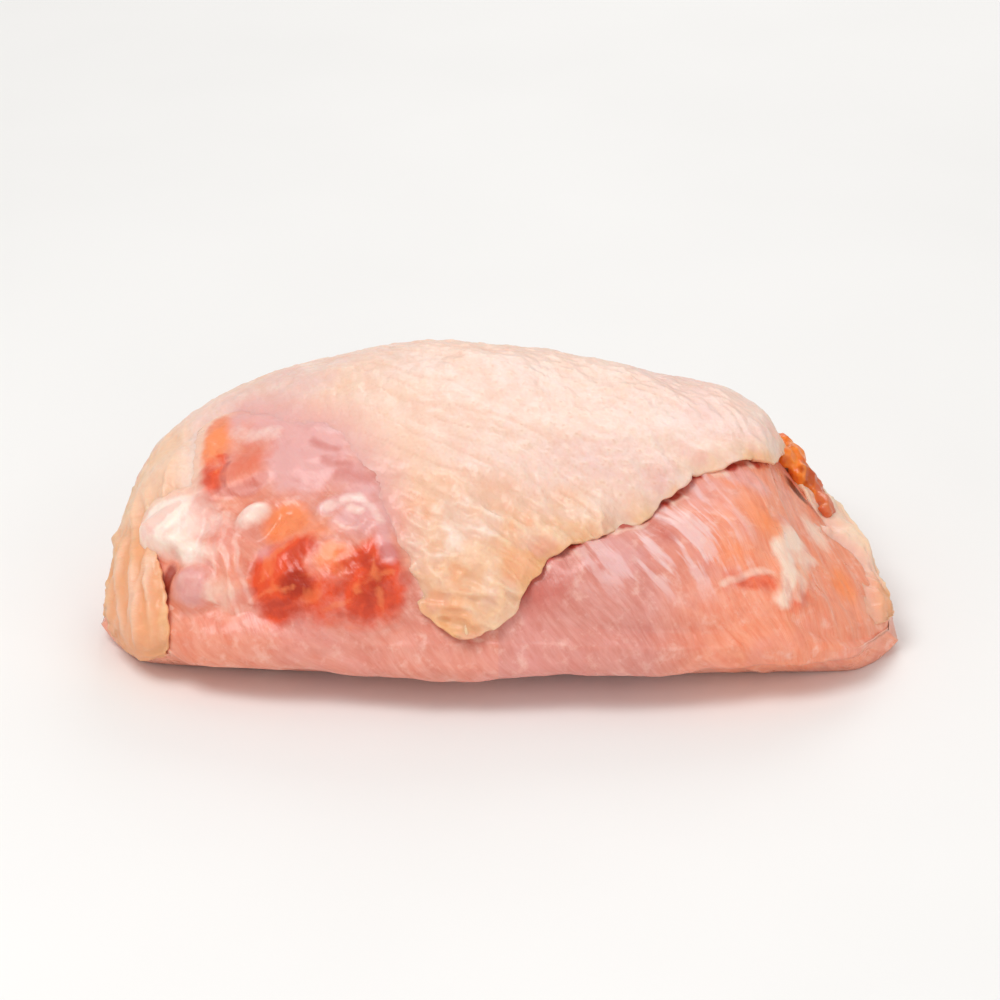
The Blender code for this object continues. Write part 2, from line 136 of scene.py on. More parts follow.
FRINGE_EDGE = (
    (72.0, 107.5),
    (75.5, 101.0),
    (79.5, 98.0),
    (82.0, 107.0),
    (83.0, 119.0),
    (82.6, 133.0),
    (83.0, 148.0),
    (86.4, 161.0),
    (88.5, 150.0),
    (88.8, 132.0),
    (88.6, 112.0),
    (88.0, 92.0),
    (86.5, 70.0),
    (83.0, 48.0),
    (77.0, 34.0),
    (69.0, 28.0),
    (62.0, 34.0),
    (61.0, 60.0),
    (66.0, 70.0),
    (71.5, 80.0),
    (74.6, 91.0),
    (73.0, 101.0),
)
EDGE_STEPS = 5
SKIN_NOTCHES = (
    (10.4, 151.5),
    (16.8, 146.5),
    (27.8, 139.5),
    (36.8, 130.5),
    (39.0, 126.0),
    (44.2, 118.2),
    (51.8, 112.0),
    (58.8, 106.2),
)
NOTCH_REACH = 1.8
NOTCH_DEPTH = 1.1
FLESH_END = 2.0
TAIL_PLEATS = (-88.0, -85.4, -82.8, -80.4, -78.0, -75.6, -73.2)
SKIN_LOWEST = -2.3

SKIN_SPACING = 0.56
END_REACH = 89.6
FLESH_STATIONS = 330
FLESH_FRONT = 215
FLESH_BACK = 80
FAT_VOXEL = 0.35
FRINGE_TUCK = 0.35


def smooth_step(low, high, value):
    """0 below low, 1 above high, and a smooth rise between them."""
    t = np.clip((value - low) / (high - low), 0, 1)
    return t * t * (3 - 2 * t)


def station_curve(column, x):
    """A smooth curve through one column of the cross-sections."""
    xs, ys = SECTIONS[:, 0], SECTIONS[:, column]
    x = np.clip(x, xs[0], xs[-1])
    i = np.clip(np.searchsorted(xs, x, side="right") - 1, 0, len(xs) - 2)
    step = xs[i + 1] - xs[i]
    rise = ys[i + 1] - ys[i]
    j, k = np.maximum(i - 1, 0), np.minimum(i + 2, len(xs) - 1)
    before = np.where(i > 0, (ys[i] - ys[j]) * step / np.maximum(xs[i] - xs[j], 1e-9), rise)
    after = np.where(k > i + 1, (ys[k] - ys[i + 1]) * step / np.maximum(xs[k] - xs[i + 1], 1e-9), rise)
    t = (x - xs[i]) / step
    return (
        ys[i] * (1 + 2 * t) * (1 - t) ** 2
        + ys[i + 1] * t * t * (3 - 2 * t)
        + (before + rise) / 2 * t * (1 - t) ** 2
        - (rise + after) / 2 * t * t * (1 - t)
    )


def powered(value, power):
    """The value raised to a power, with its sign kept."""
    return np.sign(value) * np.abs(value) ** power


def end_shrink(x):
    """How much of a cross-section's size is left at x: the ends are rounded off."""
    past = np.maximum(0.0, np.abs(x) - (LENGTH / 2 - END_ROUNDING)) / END_ROUNDING
    return np.maximum(0.0, 1 - past * past) ** (1 / CROWN_POWER)


def body(x, girth):
    """Points of the outer surface."""
    x = np.asarray(x, float)
    middle, half, crown, waist = (station_curve(column, x) for column in range(1, 5))
    shrink = end_shrink(x)
    across, high = np.cos(np.radians(girth)), np.sin(np.radians(girth))
    lift = shrink * np.abs(high) ** (2 / CROWN_POWER) * (high > 0)
    drop = (waist + BASE_SINK) * shrink * np.abs(high) ** (2 / BELLY_POWER) * (high < 0)
    side = half * np.where(across > 0, KEEL_SIDE_SHARE, 1.0)
    y = middle + side * shrink * powered(across, 2 / CROWN_POWER) + CROWN_LEAN * lift
    return np.stack([x, y, waist + (crown - waist) * lift - drop], -1)


def body_normals(x, girth):
    """Outward normals of the outer surface."""
    along = body(x + 0.5, girth) - body(x - 0.5, girth)
    round_it = body(x, girth + 0.8) - body(x, girth - 0.8)
    normals = np.cross(round_it, along)
    return normals / np.maximum(np.linalg.norm(normals, axis=-1, keepdims=True), 1e-9)


def on_body(x, girth, out=0.0):
    """Points off the outer surface by the given distances, outward if positive."""
    x, girth, out = np.broadcast_arrays(np.asarray(x, float), np.asarray(girth, float), out)
    return body(x, girth) + body_normals(x, girth) * out[..., None]


def natural(x, girth):
    """Places on the surface as lengths along the piece and round it, so that noise keeps its size there."""
    steps = np.linspace(-LENGTH / 2, LENGTH / 2, 729)
    middle, half, crown, waist = (station_curve(column, steps) for column in range(1, 5))
    shrink = end_shrink(steps)
    rise = waist + (crown - waist) * shrink
    lengths = np.concatenate([[0], np.cumsum(np.hypot(np.diff(steps), np.diff(rise)))])
    along = np.interp(x, steps, lengths - lengths[-1] / 2)
    radius = np.interp(x, steps, (half + crown - waist) / 2 * shrink)
    return np.stack([along, np.radians(np.asarray(girth, float) - 90.0) * radius], -1)


def girth_to_flat(girth):
    """Degrees of girth as millimetres round the piece."""
    return np.radians(np.asarray(girth, float) - 90.0) * GIRTH_RADIUS


def flat_to_girth(distance):
    """Millimetres round the piece as degrees of girth."""
    return np.degrees(np.asarray(distance, float) / GIRTH_RADIUS) + 90.0


def unit_hash(cells, seed):
    """A fixed number from 0 to 1 for each cell of whole numbers."""
    cells = cells.astype(np.int64)
    mixed = np.full(cells.shape[:-1], seed * 7919 + 17, np.int64)
    for axis, prime in zip(range(cells.shape[-1]), (73856093, 19349663, 83492791)):
        mixed = (mixed ^ (cells[..., axis] * prime)) & 0x7FFFFFFF
        mixed = ((mixed ^ (mixed >> 13)) * 1103515245 + 12345) & 0x7FFFFFFF
    return ((mixed ^ (mixed >> 11)) & 0xFFFFF) / 0xFFFFF


def value_noise(points, size, seed):
    """Smooth noise from -1 to 1 at points, with features of the given size."""
    scaled = np.asarray(points) / size
    base = np.floor(scaled)
    part = scaled - base
    part = part * part * (3 - 2 * part)
    total = 0.0
    dims = scaled.shape[-1]
    for corner in np.ndindex(*(2,) * dims):
        weight = np.prod(np.where(np.array(corner) == 1, part, 1 - part), axis=-1)
        total = total + weight * unit_hash(base + np.array(corner), seed)
    return total * 2 - 1


def layered_noise(points, size, seed, layers=3):
    """Value noise with finer layers added."""
    total = sum(value_noise(points, size / 2**k, seed + 31 * k) / 2**k for k in range(layers))
    return total / sum(1 / 2**k for k in range(layers))


def cell_distances(flat, spacing, jitter, seed):
    """The distances, in cells, from flat points to the nearest and second nearest scattered centres."""
    scaled = flat / np.asarray(spacing)
    base = np.floor(scaled)
    first = np.full(len(flat), 9.0)
    second = np.full(len(flat), 9.0)
    for dx in (-1, 0, 1):
        for dy in (-1, 0, 1):
            cell = base + (dx, dy)
            off = np.stack([unit_hash(cell, seed), unit_hash(cell, seed + 5)], -1) - 0.5
            stagger = np.stack([0.5 * (cell[:, 1] % 2), np.zeros(len(cell))], -1)
            gap = np.linalg.norm(cell + 0.5 + stagger * 0.8 + off * jitter - scaled, axis=1)
            second = np.minimum(second, np.maximum(first, gap))
            first = np.minimum(first, gap)
    return first, second


def closed_curve(points, steps):
    """A smooth closed curve through points of a plane."""
    points = np.asarray(points, float)
    before, after, beyond = (np.roll(points, -k, axis=0) for k in (-1, 1, 2))
    t = (np.arange(steps) / steps)[None, :, None]
    a, b, c, d = (p[:, None, :] for p in (before, points, after, beyond))
    curve = 0.5 * (
        2 * b + (c - a) * t + (2 * a - 5 * b + 4 * c - d) * t**2 + (3 * b - a - 3 * c + d) * t**3
    )
    return curve.reshape(-1, points.shape[1])


def resample_closed(curve, spacing):
    """A closed curve with evenly spaced points."""
    loop = np.concatenate([curve, curve[:1]])
    lengths = np.concatenate([[0], np.cumsum(np.linalg.norm(np.diff(loop, axis=0), axis=1))])
    count = int(lengths[-1] / spacing)
    at = np.linspace(0, lengths[-1], count, endpoint=False)
    return np.stack([np.interp(at, lengths, loop[:, axis]) for axis in range(curve.shape[1])], -1)


def add_mesh(name, points, faces, material=None, smooth=True):
    """A mesh object from points in millimetres of the design, moved over the origin as the solid is."""
    points = np.asarray(points, float) - (*OUTLINE_MIDDLE, 0.0)
    mesh = bpy.data.meshes.new(name)
    mesh.from_pydata((points * MM).tolist(), [], faces)
    mesh.validate()
    if smooth:
        mesh.shade_smooth()
    if material:
        mesh.materials.append(material)
    form = bpy.data.objects.new(name, mesh)
    bpy.context.scene.collection.objects.link(form)
    return form


def set_masks(form, masks):
    """Stores named masks from 0 to 1, or vectors, on the vertices of a mesh."""
    for name, values in masks.items():
        kind = "FLOAT_VECTOR" if np.ndim(values) == 2 else "FLOAT"
        field = "vector" if kind == "FLOAT_VECTOR" else "value"
        layer = form.data.attributes.new(name, kind, "POINT")
        layer.data.foreach_set(field, np.asarray(values, np.float32).ravel())


# The skin


def base_skin_level(x, girth, inside):
    """The skin's low folds and rolled rim, as in the solid."""
    level = np.empty(len(x))
    for i, (along, turn, depth) in enumerate(zip(x, girth, inside)):
        fold = noise.noise(Vector((along * 0.045, turn * 0.035, 2.7))) * 0.9
        ripple = noise.noise(Vector((along * 0.13, turn * 0.10, 7.1))) * 0.5
        rim = math.exp(-(((depth - 2.2) / 2.2) ** 2)) * SKIN_EDGE_ROLL
        ruffle = 0.6 + 0.8 * noise.noise(Vector((along * 0.22, turn * 0.16, 4.4)))
        level[i] = fold + ripple + rim * ruffle
    return level * np.minimum(1.0, end_shrink(x) * 1.25)


def tail_pleats(x, girth):
    """How far the pleats of loose skin stand out at the low corner of the shoulder end."""
    height = np.zeros(len(x))
    for index, middle in enumerate(TAIL_PLEATS):
        centre = middle + 0.9 * np.sin(np.radians(girth) * 5 + 2.1 * index)
        share = smooth_step(98, 124, girth + 6 * np.sin(2.3 * index)) * smooth_step(192, 170, girth)
        share *= 0.70 + 0.30 * np.sin(np.radians(girth) * 8 + 3.7 * index)
        height = np.maximum(height, 1.8 * share * np.exp(-(((x - centre) / 0.85) ** 2)))
    return height


def window_edge(x, girth):
    """How far the skin melts into the flesh there: 1 round the shoulder opening, 0 elsewhere."""
    lowest = 166 - 28 * smooth_step(-66, -72, x)
    near = smooth_step(-84, -79, x) * smooth_step(-12, -22, x)
    return near * smooth_step(84, 91, girth) * smooth_step(lowest + 12, lowest - 8, girth)


def turned(flat, degrees, along, across):
    """Flat points in axes turned by some degrees, in units of the given lengths, for drawn-out noise."""
    c, s = math.cos(math.radians(degrees)), math.sin(math.radians(degrees))
    u = (flat[:, 0] * c + flat[:, 1] * s) / along
    v = (flat[:, 1] * c - flat[:, 0] * s) / across
    return np.stack([u, v], -1)


def crease_lines(places, width, seed):
    """Narrow wandering lines: 1 on a line and 0 away from it."""
    return np.exp(-((value_noise(places, 1.0, seed) / width) ** 2))


def ridged(places, seed, layers=3):
    """Noise from 0 to 1 with sharp ridges, as folded tissue has."""
    total = 0.0
    for k in range(layers):
        total = total + (1 - np.abs(value_noise(places * 2**k, 1.0, seed + 31 * k))) ** 2 / 2**k
    return total / sum(1 / 2**k for k in range(layers))


def skin_creases(place, girth):
    """Fine wrinkles: long ones slanting down the flank or running along the crown, and short cross ones."""
    bend = np.stack([value_noise(place, 15.0, 23), value_noise(place, 15.0, 24)], -1) * 2.0
    bent = place + bend
    here = smooth_step(-0.2, 0.4, value_noise(place, 19.0, 31))
    there = smooth_step(-0.1, 0.5, value_noise(place, 13.0, 33))
    crown = smooth_step(112, 92, girth)
    lines = (0.25 + 0.75 * here) * crease_lines(turned(bent, 30, 17.0, 2.0), 0.17, 29)
    lines += (0.15 + 0.85 * crown) * there * crease_lines(turned(bent, -5, 20.0, 1.7), 0.17, 37)
    lines += 0.7 * (1 - here) * crease_lines(turned(bent, 74, 9.0, 1.9), 0.15, 41)
    return bent, np.clip(lines, 0, 1.2)


def skin_heights(flat, inside):
    """The skin's level over the outer surface, and the masks that its material reads."""
    x, girth = flat[:, 0], flat_to_girth(flat[:, 1])
    place = natural(x, girth)
    melt = window_edge(x, girth)
    pleats = tail_pleats(x, girth)
    level = base_skin_level(x, girth, inside) + pleats * smooth_step(0.0, 3.0, inside)
    level -= 2.0 * melt * np.exp(-((inside / 6.0) ** 2))
    level -= 1.4 * np.exp(-((inside / 3.4) ** 2)) * (1 - melt)

    flank = smooth_step(116, 146, girth) * smooth_step(-36, -18, x) * smooth_step(46, 14, x)
    lobe = flank * smooth_step(122, 142, girth)
    strip = smooth_step(-66, -74, x) * smooth_step(60, 88, girth)
    near_edge = np.exp(-((inside / 7.0) ** 2)) * (1 - melt)
    bent, wrinkle = skin_creases(place, girth)
    folds = ridged(turned(bent, 20, 14.0, 4.6), 11, 2)
    pucker = ridged(turned(bent, 35, 5.6, 2.8), 19, 2)
    strip_folds = ridged(turned(bent, 80, 16.0, 3.0), 17, 2)
    level += (2.0 * flank + 0.5 * near_edge) * (folds - 0.45) + 1.3 * lobe * (pucker - 0.45)
    drape = ridged(turned(bent, 62, 16.0, 5.6), 13, 2)
    level += 0.6 * strip * (strip_folds - 0.45) + 0.4 * (1 - strip) * (drape - 0.45) - 0.16 * wrinkle

    first, second = cell_distances(bent, (4.3, 3.4), 0.8, 43)
    tract = smooth_step(-0.15, 0.5, value_noise(place, 27.0, 47) + 0.25 * smooth_step(60, 20, girth))
    pimple = np.exp(-((first / 0.24) ** 2))
    # The follicle pits are dipped into the skin, and their darker colour is painted shade.
    pit = np.exp(-((first / 0.09) ** 2))
    level += (0.25 + 0.75 * tract) * (0.28 * pimple - 0.14 * pit)
    grain_first, grain_second = cell_distances(bent, (1.35, 1.1), 0.9, 49)
    net = np.exp(-(((grain_second - grain_first) / 0.15) ** 2))
    level += 0.12 * value_noise(place, 1.5, 53) - 0.07 * net
    flutter = np.exp(-((inside / 4.0) ** 2)) * (1 - 0.8 * melt)
    level += flutter * 0.9 * layered_noise(place, 6.0, 59, 2)
    level = np.maximum(level, SKIN_LOWEST - 9.0 * melt)

    broad = layered_noise(place, 32.0, 61, 3)
    patchy = smooth_step(-0.35, 0.45, layered_noise(place, 9.0, 63, 3))
    patch = layered_noise(place, 8.0, 65, 3)
    golden = lobe * smooth_step(0.08, 0.40, patch)
    milky = lobe * smooth_step(-0.05, -0.35, patch)
    fat = 0.20 + 0.45 * flank + 0.55 * strip + 0.55 * near_edge * patchy + 0.70 * broad
    fat += 0.25 * smooth_step(100, 140, girth) + 0.18 * smooth_step(0, 40, x) - 0.5 * milky
    bare = smooth_step(0.0, 0.7, layered_noise(place, 24.0, 67, 3) + 0.3 * smooth_step(-10, -55, x))
    # Warm painted shade in the wrinkles, the grain's net and the valleys of the folds, the pucker and the pleats.
    crease_shade = 0.40 * wrinkle + 0.30 * net + 1.5 * flank * np.clip(0.72 - folds, 0, 1)
    crease_shade += 1.8 * lobe * np.clip(0.50 - pucker, 0, 1) + 0.5 * strip * (0.7 - strip_folds)
    fan = strip * smooth_step(112, 128, girth)
    crease_shade += 0.6 * np.clip(0.55 - drape, 0, 1) + 0.9 * fan * smooth_step(0.9, 0.2, pleats)
    film = melt * smooth_step(-64, -58, x) * (1 - 0.6 * smooth_step(143, 154, girth))
    blush = 0.45 * near_edge * smooth_step(0.05, 0.45, layered_noise(place, 5.0, 75, 2)) * smooth_step(-30, -10, x)
    # The strip's own orange, made stronger between the pleats as painted shade.
    tail = strip * smooth_step(108, 138, girth) * np.clip(1.1 - pleats / 1.7, 0.35, 1)
    masks = {
        "fat": np.clip(fat, 0, 1),
        "thin": np.clip(0.9 * bare * (1 - flank) * (1 - strip), 0, 1),
        "melt": np.clip(1.1 * film * np.exp(-((inside / 8.5) ** 2)) + blush, 0, 1),
        "pimple": np.clip((0.25 + 0.75 * tract) * pimple + 1.2 * milky, 0, 1),
        "pit": np.clip((0.3 + 0.7 * tract) * pit, 0, 1),
        "crease_shade": np.clip(crease_shade, 0, 1),
        "rim": patchy * np.exp(-((inside / 1.6) ** 2)) * (1 - melt),
        "tail": np.clip(tail + 0.75 * golden, 0, 1),
    }
    return level, masks


def inside_curve(points, curve):
    """Which flat points lie inside a closed curve."""
    inside = np.zeros(len(points), bool)
    x, y = points[:, 0], points[:, 1]
    for (ax, ay), (bx, by) in zip(curve, np.roll(curve, -1, axis=0)):
        if ay == by:
            continue
        crosses = (ay > y) != (by > y)
        inside ^= crosses & (x < (bx - ax) * (y - ay) / (by - ay) + ax)
    return inside


def edge_depths(points, curve):
    """The distances from flat points to the nearest point of a finely stepped curve."""
    tree = kdtree.KDTree(len(curve))
    for i, (x, y) in enumerate(curve):
        tree.insert((x, y, 0), i)
    tree.balance()
    return np.array([tree.find((x, y, 0))[2] for x, y in points])


def notches(flat):
    """The torn nicks of the skin's lower edge: 1 in the middle of one, 0 away from them."""
    depth = np.zeros(len(flat))
    for x, girth in SKIN_NOTCHES:
        off = np.hypot(flat[:, 0] - x, flat[:, 1] - float(girth_to_flat(girth)))
        depth = np.maximum(depth, np.exp(-((off / NOTCH_REACH) ** 2)))
    return depth


def flat_outline(places, steps, wave):
    """A closed flat curve through places given as x and girth, with an uneven course and fine nicks."""
    curve = closed_curve([(x, float(girth_to_flat(girth))) for x, girth in places], steps)
    for point in curve:
        shift = noise.noise_vector(Vector((point[0] * 0.11, point[1] * 0.11, 1.3)))
        point += np.array((shift.x, shift.y)) * wave
    curve = resample_closed(closed_curve(resample_closed(curve, 3.0), 4), SKIN_SPACING)
    place = natural(curve[:, 0], flat_to_girth(curve[:, 1]))
    ahead, behind = (natural(curve[:, 0] + step, 0)[:, 0] for step in (0.5, -0.5))
    nick = np.stack([layered_noise(place, 3.0, seed, 3) for seed in (71, 73)], -1)
    nick[:, 0] /= ahead - behind
    middle = curve.mean(0)
    inward = (middle - curve) / np.linalg.norm(middle - curve, axis=1, keepdims=True)
    torn = NOTCH_DEPTH * notches(curve)[:, None] * inward
    curve = resample_closed(curve + 0.8 * nick + torn, SKIN_SPACING)
    curve[:, 0] = np.clip(curve[:, 0], -END_REACH, END_REACH)
    return resample_closed(curve, SKIN_SPACING)


def flat_mesh(curve, fine):
    """Evenly scattered corners and triangles that fill a closed flat curve, and which corners are its rim."""
    low, high = curve.min(0), curve.max(0)
    heights = np.arange(low[1], high[1], SKIN_SPACING * math.sqrt(3) / 2)
    lines = []
    for k, height in enumerate(heights):
        along = np.arange(low[0] + (k % 2) * SKIN_SPACING / 2, high[0], SKIN_SPACING)
        lines.append(np.stack([along, np.full(len(along), height)], -1))
    grid = np.concatenate(lines)
    grid = grid[inside_curve(grid, curve)]
    grid = grid[edge_depths(grid, fine) > 0.45 * SKIN_SPACING]
    count = len(curve)
    sides = [(i, (i + 1) % count) for i in range(count)]
    flat = np.concatenate([curve, grid])
    made = delaunay_2d_cdt([Vector(p) for p in flat], sides, [tuple(range(count))], 1, 1e-5)
    corners = np.array([tuple(c) for c in made[0]])
    where = {origins[0]: i for i, origins in enumerate(made[3]) if origins}
    return corners, [tuple(face) for face in made[2]], np.array([where[i] for i in range(count)])


# How far the skin's rim reaches out, and how far it has dropped there, ring by ring down its side
RIM_PROFILE = (
    (0.22, 0.10),
    (0.38, 0.36),
    (0.42, 0.75),
    (0.28, 1.12),
    (-0.10, 1.42),
    (-0.75, 1.62),
    (-1.80, 1.95),
    (-3.20, 2.70),
    (-6.00, 4.60),
)


def make_sheet(title, curve, heights, thickness, material, tuck=1.0):
    """A sheet of tissue that follows the outer surface. Its rim turns under and into the flesh; tuck is how
    much of the usual way it reaches in."""
    fine = resample_closed(curve, 0.2)
    corners, faces, rim = flat_mesh(curve, fine)
    inside = edge_depths(corners, fine)
    inside[rim] = 0.0
    level, masks = heights(corners, inside)
    points = [on_body(corners[:, 0], flat_to_girth(corners[:, 1]), level)]

    ahead = np.roll(curve, -1, axis=0) - np.roll(curve, 1, axis=0)
    outward = np.stack([ahead[:, 1], -ahead[:, 0]], -1)
    outward /= np.linalg.norm(outward, axis=1, keepdims=True)
    if inside_curve(curve + outward * 0.3, curve).mean() > 0.5:
        outward = -outward
    thick = thickness(curve)
    count, size = len(curve), len(corners)
    previous = rim
    for step, (reach, drop) in enumerate(RIM_PROFILE):
        side = smooth_step(0.0, 0.6, drop) * smooth_step(2.0, 1.3, drop)
        deep = smooth_step(0.7, 1.8, drop) * smooth_step(4.0, 2.4, drop)
        beads = 0.30 * side * layered_noise(curve, 3.0, 80, 3)
        lumpy = 1 + 0.9 * deep * value_noise(curve, 1.7, 79)
        ring = curve + outward * (reach * (tuck if reach < 0 else 1.0) + beads)[:, None]
        points.append(on_body(ring[:, 0], flat_to_girth(ring[:, 1]), level[rim] - drop * thick * lumpy))
        ids = np.arange(count) + size + step * count
        quads = np.stack([previous, np.roll(previous, -1), np.roll(ids, -1), ids], -1)
        faces += [tuple(q) for q in quads.tolist()]
        previous = ids
    sheet = add_mesh(title, np.concatenate(points), faces, material)
    bm = bmesh.new()
    bm.from_mesh(sheet.data)
    bmesh.ops.recalc_face_normals(bm, faces=bm.faces)
    top = max(bm.faces, key=lambda face: face.calc_center_median().z)
    if top.normal.z < 0:
        bmesh.ops.reverse_faces(bm, faces=bm.faces)
    bm.to_mesh(sheet.data)
    bm.free()
    for name, values in masks.items():
        set_masks(sheet, {name: np.concatenate([values, np.tile(values[rim], len(RIM_PROFILE))])})
    drops = [smooth_step(0.6, 1.5, drop) for _, drop in RIM_PROFILE]
    set_masks(sheet, {"under": np.concatenate([np.zeros(size), np.repeat(drops, count)])})
    return sheet


def make_skin(curve, material):
    """The skin over the crown, down to its lobe on the flank and the pleated strip at the shoulder."""

    def thickness(edge):
        girth = flat_to_girth(edge[:, 1])
        return (0.80 + 0.3 * layered_noise(edge, 5.0, 78, 2)) * (1 - 0.15 * window_edge(edge[:, 0], girth))

    return make_sheet("skin", curve, skin_heights, thickness, material)


def signed_gap(flat, curve):
    """The distances from flat points to a closed curve: positive outside it, negative inside."""
    gap = edge_depths(flat, resample_closed(curve, 0.3))
    return np.where(inside_curve(flat, curve), -gap, gap)


def fringe_heights(flat, inside, skin_gap):
    """The level of the fat at the tail end: pleated across, lower where it comes out from under the skin."""
    x, girth = flat[:, 0], flat_to_girth(flat[:, 1])
    place = natural(x, girth)
    grown = smooth_step(88.5, 84.5, x) * smooth_step(84, 92, girth)
    bend = value_noise(place, 9.0, 141)[:, None] * 2.0
    pleat = ridged(turned(place + bend, 12, 9.0, 3.6), 143, 2)
    free = 1.6 * smooth_step(0, 4, inside) + 1.9 * (pleat - 0.45) + 0.35 * layered_noise(place, 2.4, 145, 2)
    level = -1.9 + free - 2.0 * grown * np.exp(-((inside / 4.2) ** 2))
    level = -2.6 + (level + 2.6) * smooth_step(-1.0, 3.5, skin_gap)
    streak = ridged(turned(place + bend, 82, 8.0, 2.4), 147, 2)
    golden = smooth_step(0.70, 0.42, streak) * smooth_step(-0.4, 0.3, value_noise(place, 8.0, 149))
    masks = {
        "fat": np.clip(0.55 + 0.9 * (pleat - 0.4) + 0.4 * smooth_step(110, 132, girth), 0, 1),
        "thin": np.zeros(len(x)),
        "melt": 0.7 * grown * np.exp(-((inside / 3.0) ** 2)),
        "pimple": np.clip(1.3 * (pleat - 0.3), 0, 1),
        "pit": np.zeros(len(x)),
        # Painted shade in the valleys of the pleats.
        "crease_shade": np.clip(1.6 * (0.66 - pleat), 0, 1),
        "rim": 0.4 * np.exp(-((inside / 1.4) ** 2)),
        "tail": np.clip(0.9 * golden * smooth_step(84, 100, girth) + smooth_step(98, 118, girth), 0, 1),
    }
    return level, masks


def make_fringe(skin_curve, material):
    """The fat that hangs out from under the skin and round the tail end."""

    def heights(flat, inside):
        return fringe_heights(flat, inside, signed_gap(flat, skin_curve))

    def thickness(curve):
        return 0.9 + 0.25 * layered_noise(curve, 4.0, 151, 2)

    curve = flat_outline(FRINGE_EDGE, EDGE_STEPS, SKIN_EDGE_WAVE)
    return make_sheet("fat_fringe", curve, heights, thickness, material, FRINGE_TUCK)


# The flesh

FIBRE_TURN = 55.0
HOLLOW_DEPTH = 4.4
RIB_STARTS = (-52.0, -35.0, -18.0, -1.0, 16.0, 32.0)
RIB_SLANT = 0.33
RIB_HEIGHT = 2.3
RIB_WIDTH = 2.6
KEEL_GIRTH = -27.0

CURL_OUTER = (
    (-37.5, 138.5),
    (-33.5, 135.5),
    (-30.2, 135.8),
    (-27.4, 139.0),
    (-25.4, 143.5),
    (-24.4, 149.0),
    (-23.0, 153.5),
)
CURL_INNER = (
    (-31.8, 138.8),
    (-29.4, 140.2),
    (-28.3, 143.0),
    (-29.9, 145.6),
    (-32.8, 146.0),
    (-34.8, 143.6),
)
FILM_OVER_BULGE = ((-71.0, 128.0), (-64.0, 129.5), (-58.0, 132.0), (-51.0, 132.5), (-44.0, 133.0), (-38.0, 136.5))
TISSUE_FOLDS = (
    ((-63.2, 133.0), (-62.4, 143.0), (-61.0, 155.0), (-61.5, 166.0)),
    ((-60.0, 135.0), (-59.3, 146.0), (-57.4, 158.0), (-57.0, 170.0)),
    ((-56.6, 144.0), (-55.6, 154.0), (-53.8, 166.0)),
)
GRISTLE_RIDGE = ((-76.0, 132.0), (-73.0, 140.0), (-68.5, 146.5), (-63.5, 149.0))
BAND = ((-65.6, 95.0), (-65.4, 106.0), (-64.6, 118.0), (-64.4, 126.0))
STRAND = ((-60.4, 113.0), (-60.8, 120.0), (-59.6, 126.5))
# The course of the painted shadow line under the salmon patch.
SHADOW_UNDER_SALMON = ((-61.0, 126.0), (-57.0, 127.5), (-52.5, 125.5))
CREAM_STRIP = ((-58.5, 103.5), (-54.5, 106.0), (-50.0, 109.0))
FINGERS = (
    ((-40.0, 116.5), (-37.5, 117.5), (-35.0, 119.0)),
    ((-38.0, 122.5), (-35.0, 124.0), (-32.0, 126.0)),
    ((-35.0, 127.0), (-31.0, 129.0), (-27.0, 130.5)),
)
FAT_BAND = ((67.0, 124.0), (64.6, 134.0), (62.6, 144.0), (61.6, 152.0), (60.8, 162.0))
FAT_BRANCH = ((70.0, 128.0), (67.0, 138.0), (65.0, 150.0), (64.4, 158.0))
PIT = (70.2, 88.0)
TORN_STRAND = ((70.6, 86.0), (72.4, 86.5), (73.4, 89.0))


def spot(x, girth, middle, sizes, turn=0.0, power=2.0):
    """A rounded spot on the surface: 1 at its middle, 0.37 at its rim. Its sizes are half its length and
    half its width in millimetres, and turn is in degrees."""
    along, round_it = x - middle[0], girth_to_flat(girth) - girth_to_flat(middle[1])
    c, s = math.cos(math.radians(turn)), math.sin(math.radians(turn))
    reach = ((along * c + round_it * s) / sizes[0]) ** 2 + ((round_it * c - along * s) / sizes[1]) ** 2
    return np.exp(-(reach ** (power / 2)))


def ridge(x, girth, path, width):
    """A rounded ridge along a path of places on the surface: 1 on the path, 0.37 at its width."""
    along, round_it = x, girth_to_flat(girth)
    nearest = np.full(len(x), 1e9)
    places = [(px, float(girth_to_flat(pg))) for px, pg in path]
    for (ax, ay), (bx, by) in zip(places, places[1:]):
        sx, sy = bx - ax, by - ay
        share = np.clip(((along - ax) * sx + (round_it - ay) * sy) / (sx * sx + sy * sy), 0, 1)
        nearest = np.minimum(nearest, np.hypot(along - ax - share * sx, round_it - ay - share * sy))
    return np.exp(-((nearest / width) ** 2))


def soft_highest(heights, sharpness=4):
    """The highest of several heights, with soft joins."""
    return sum(np.maximum(h, 0) ** sharpness for h in heights) ** (1 / sharpness)


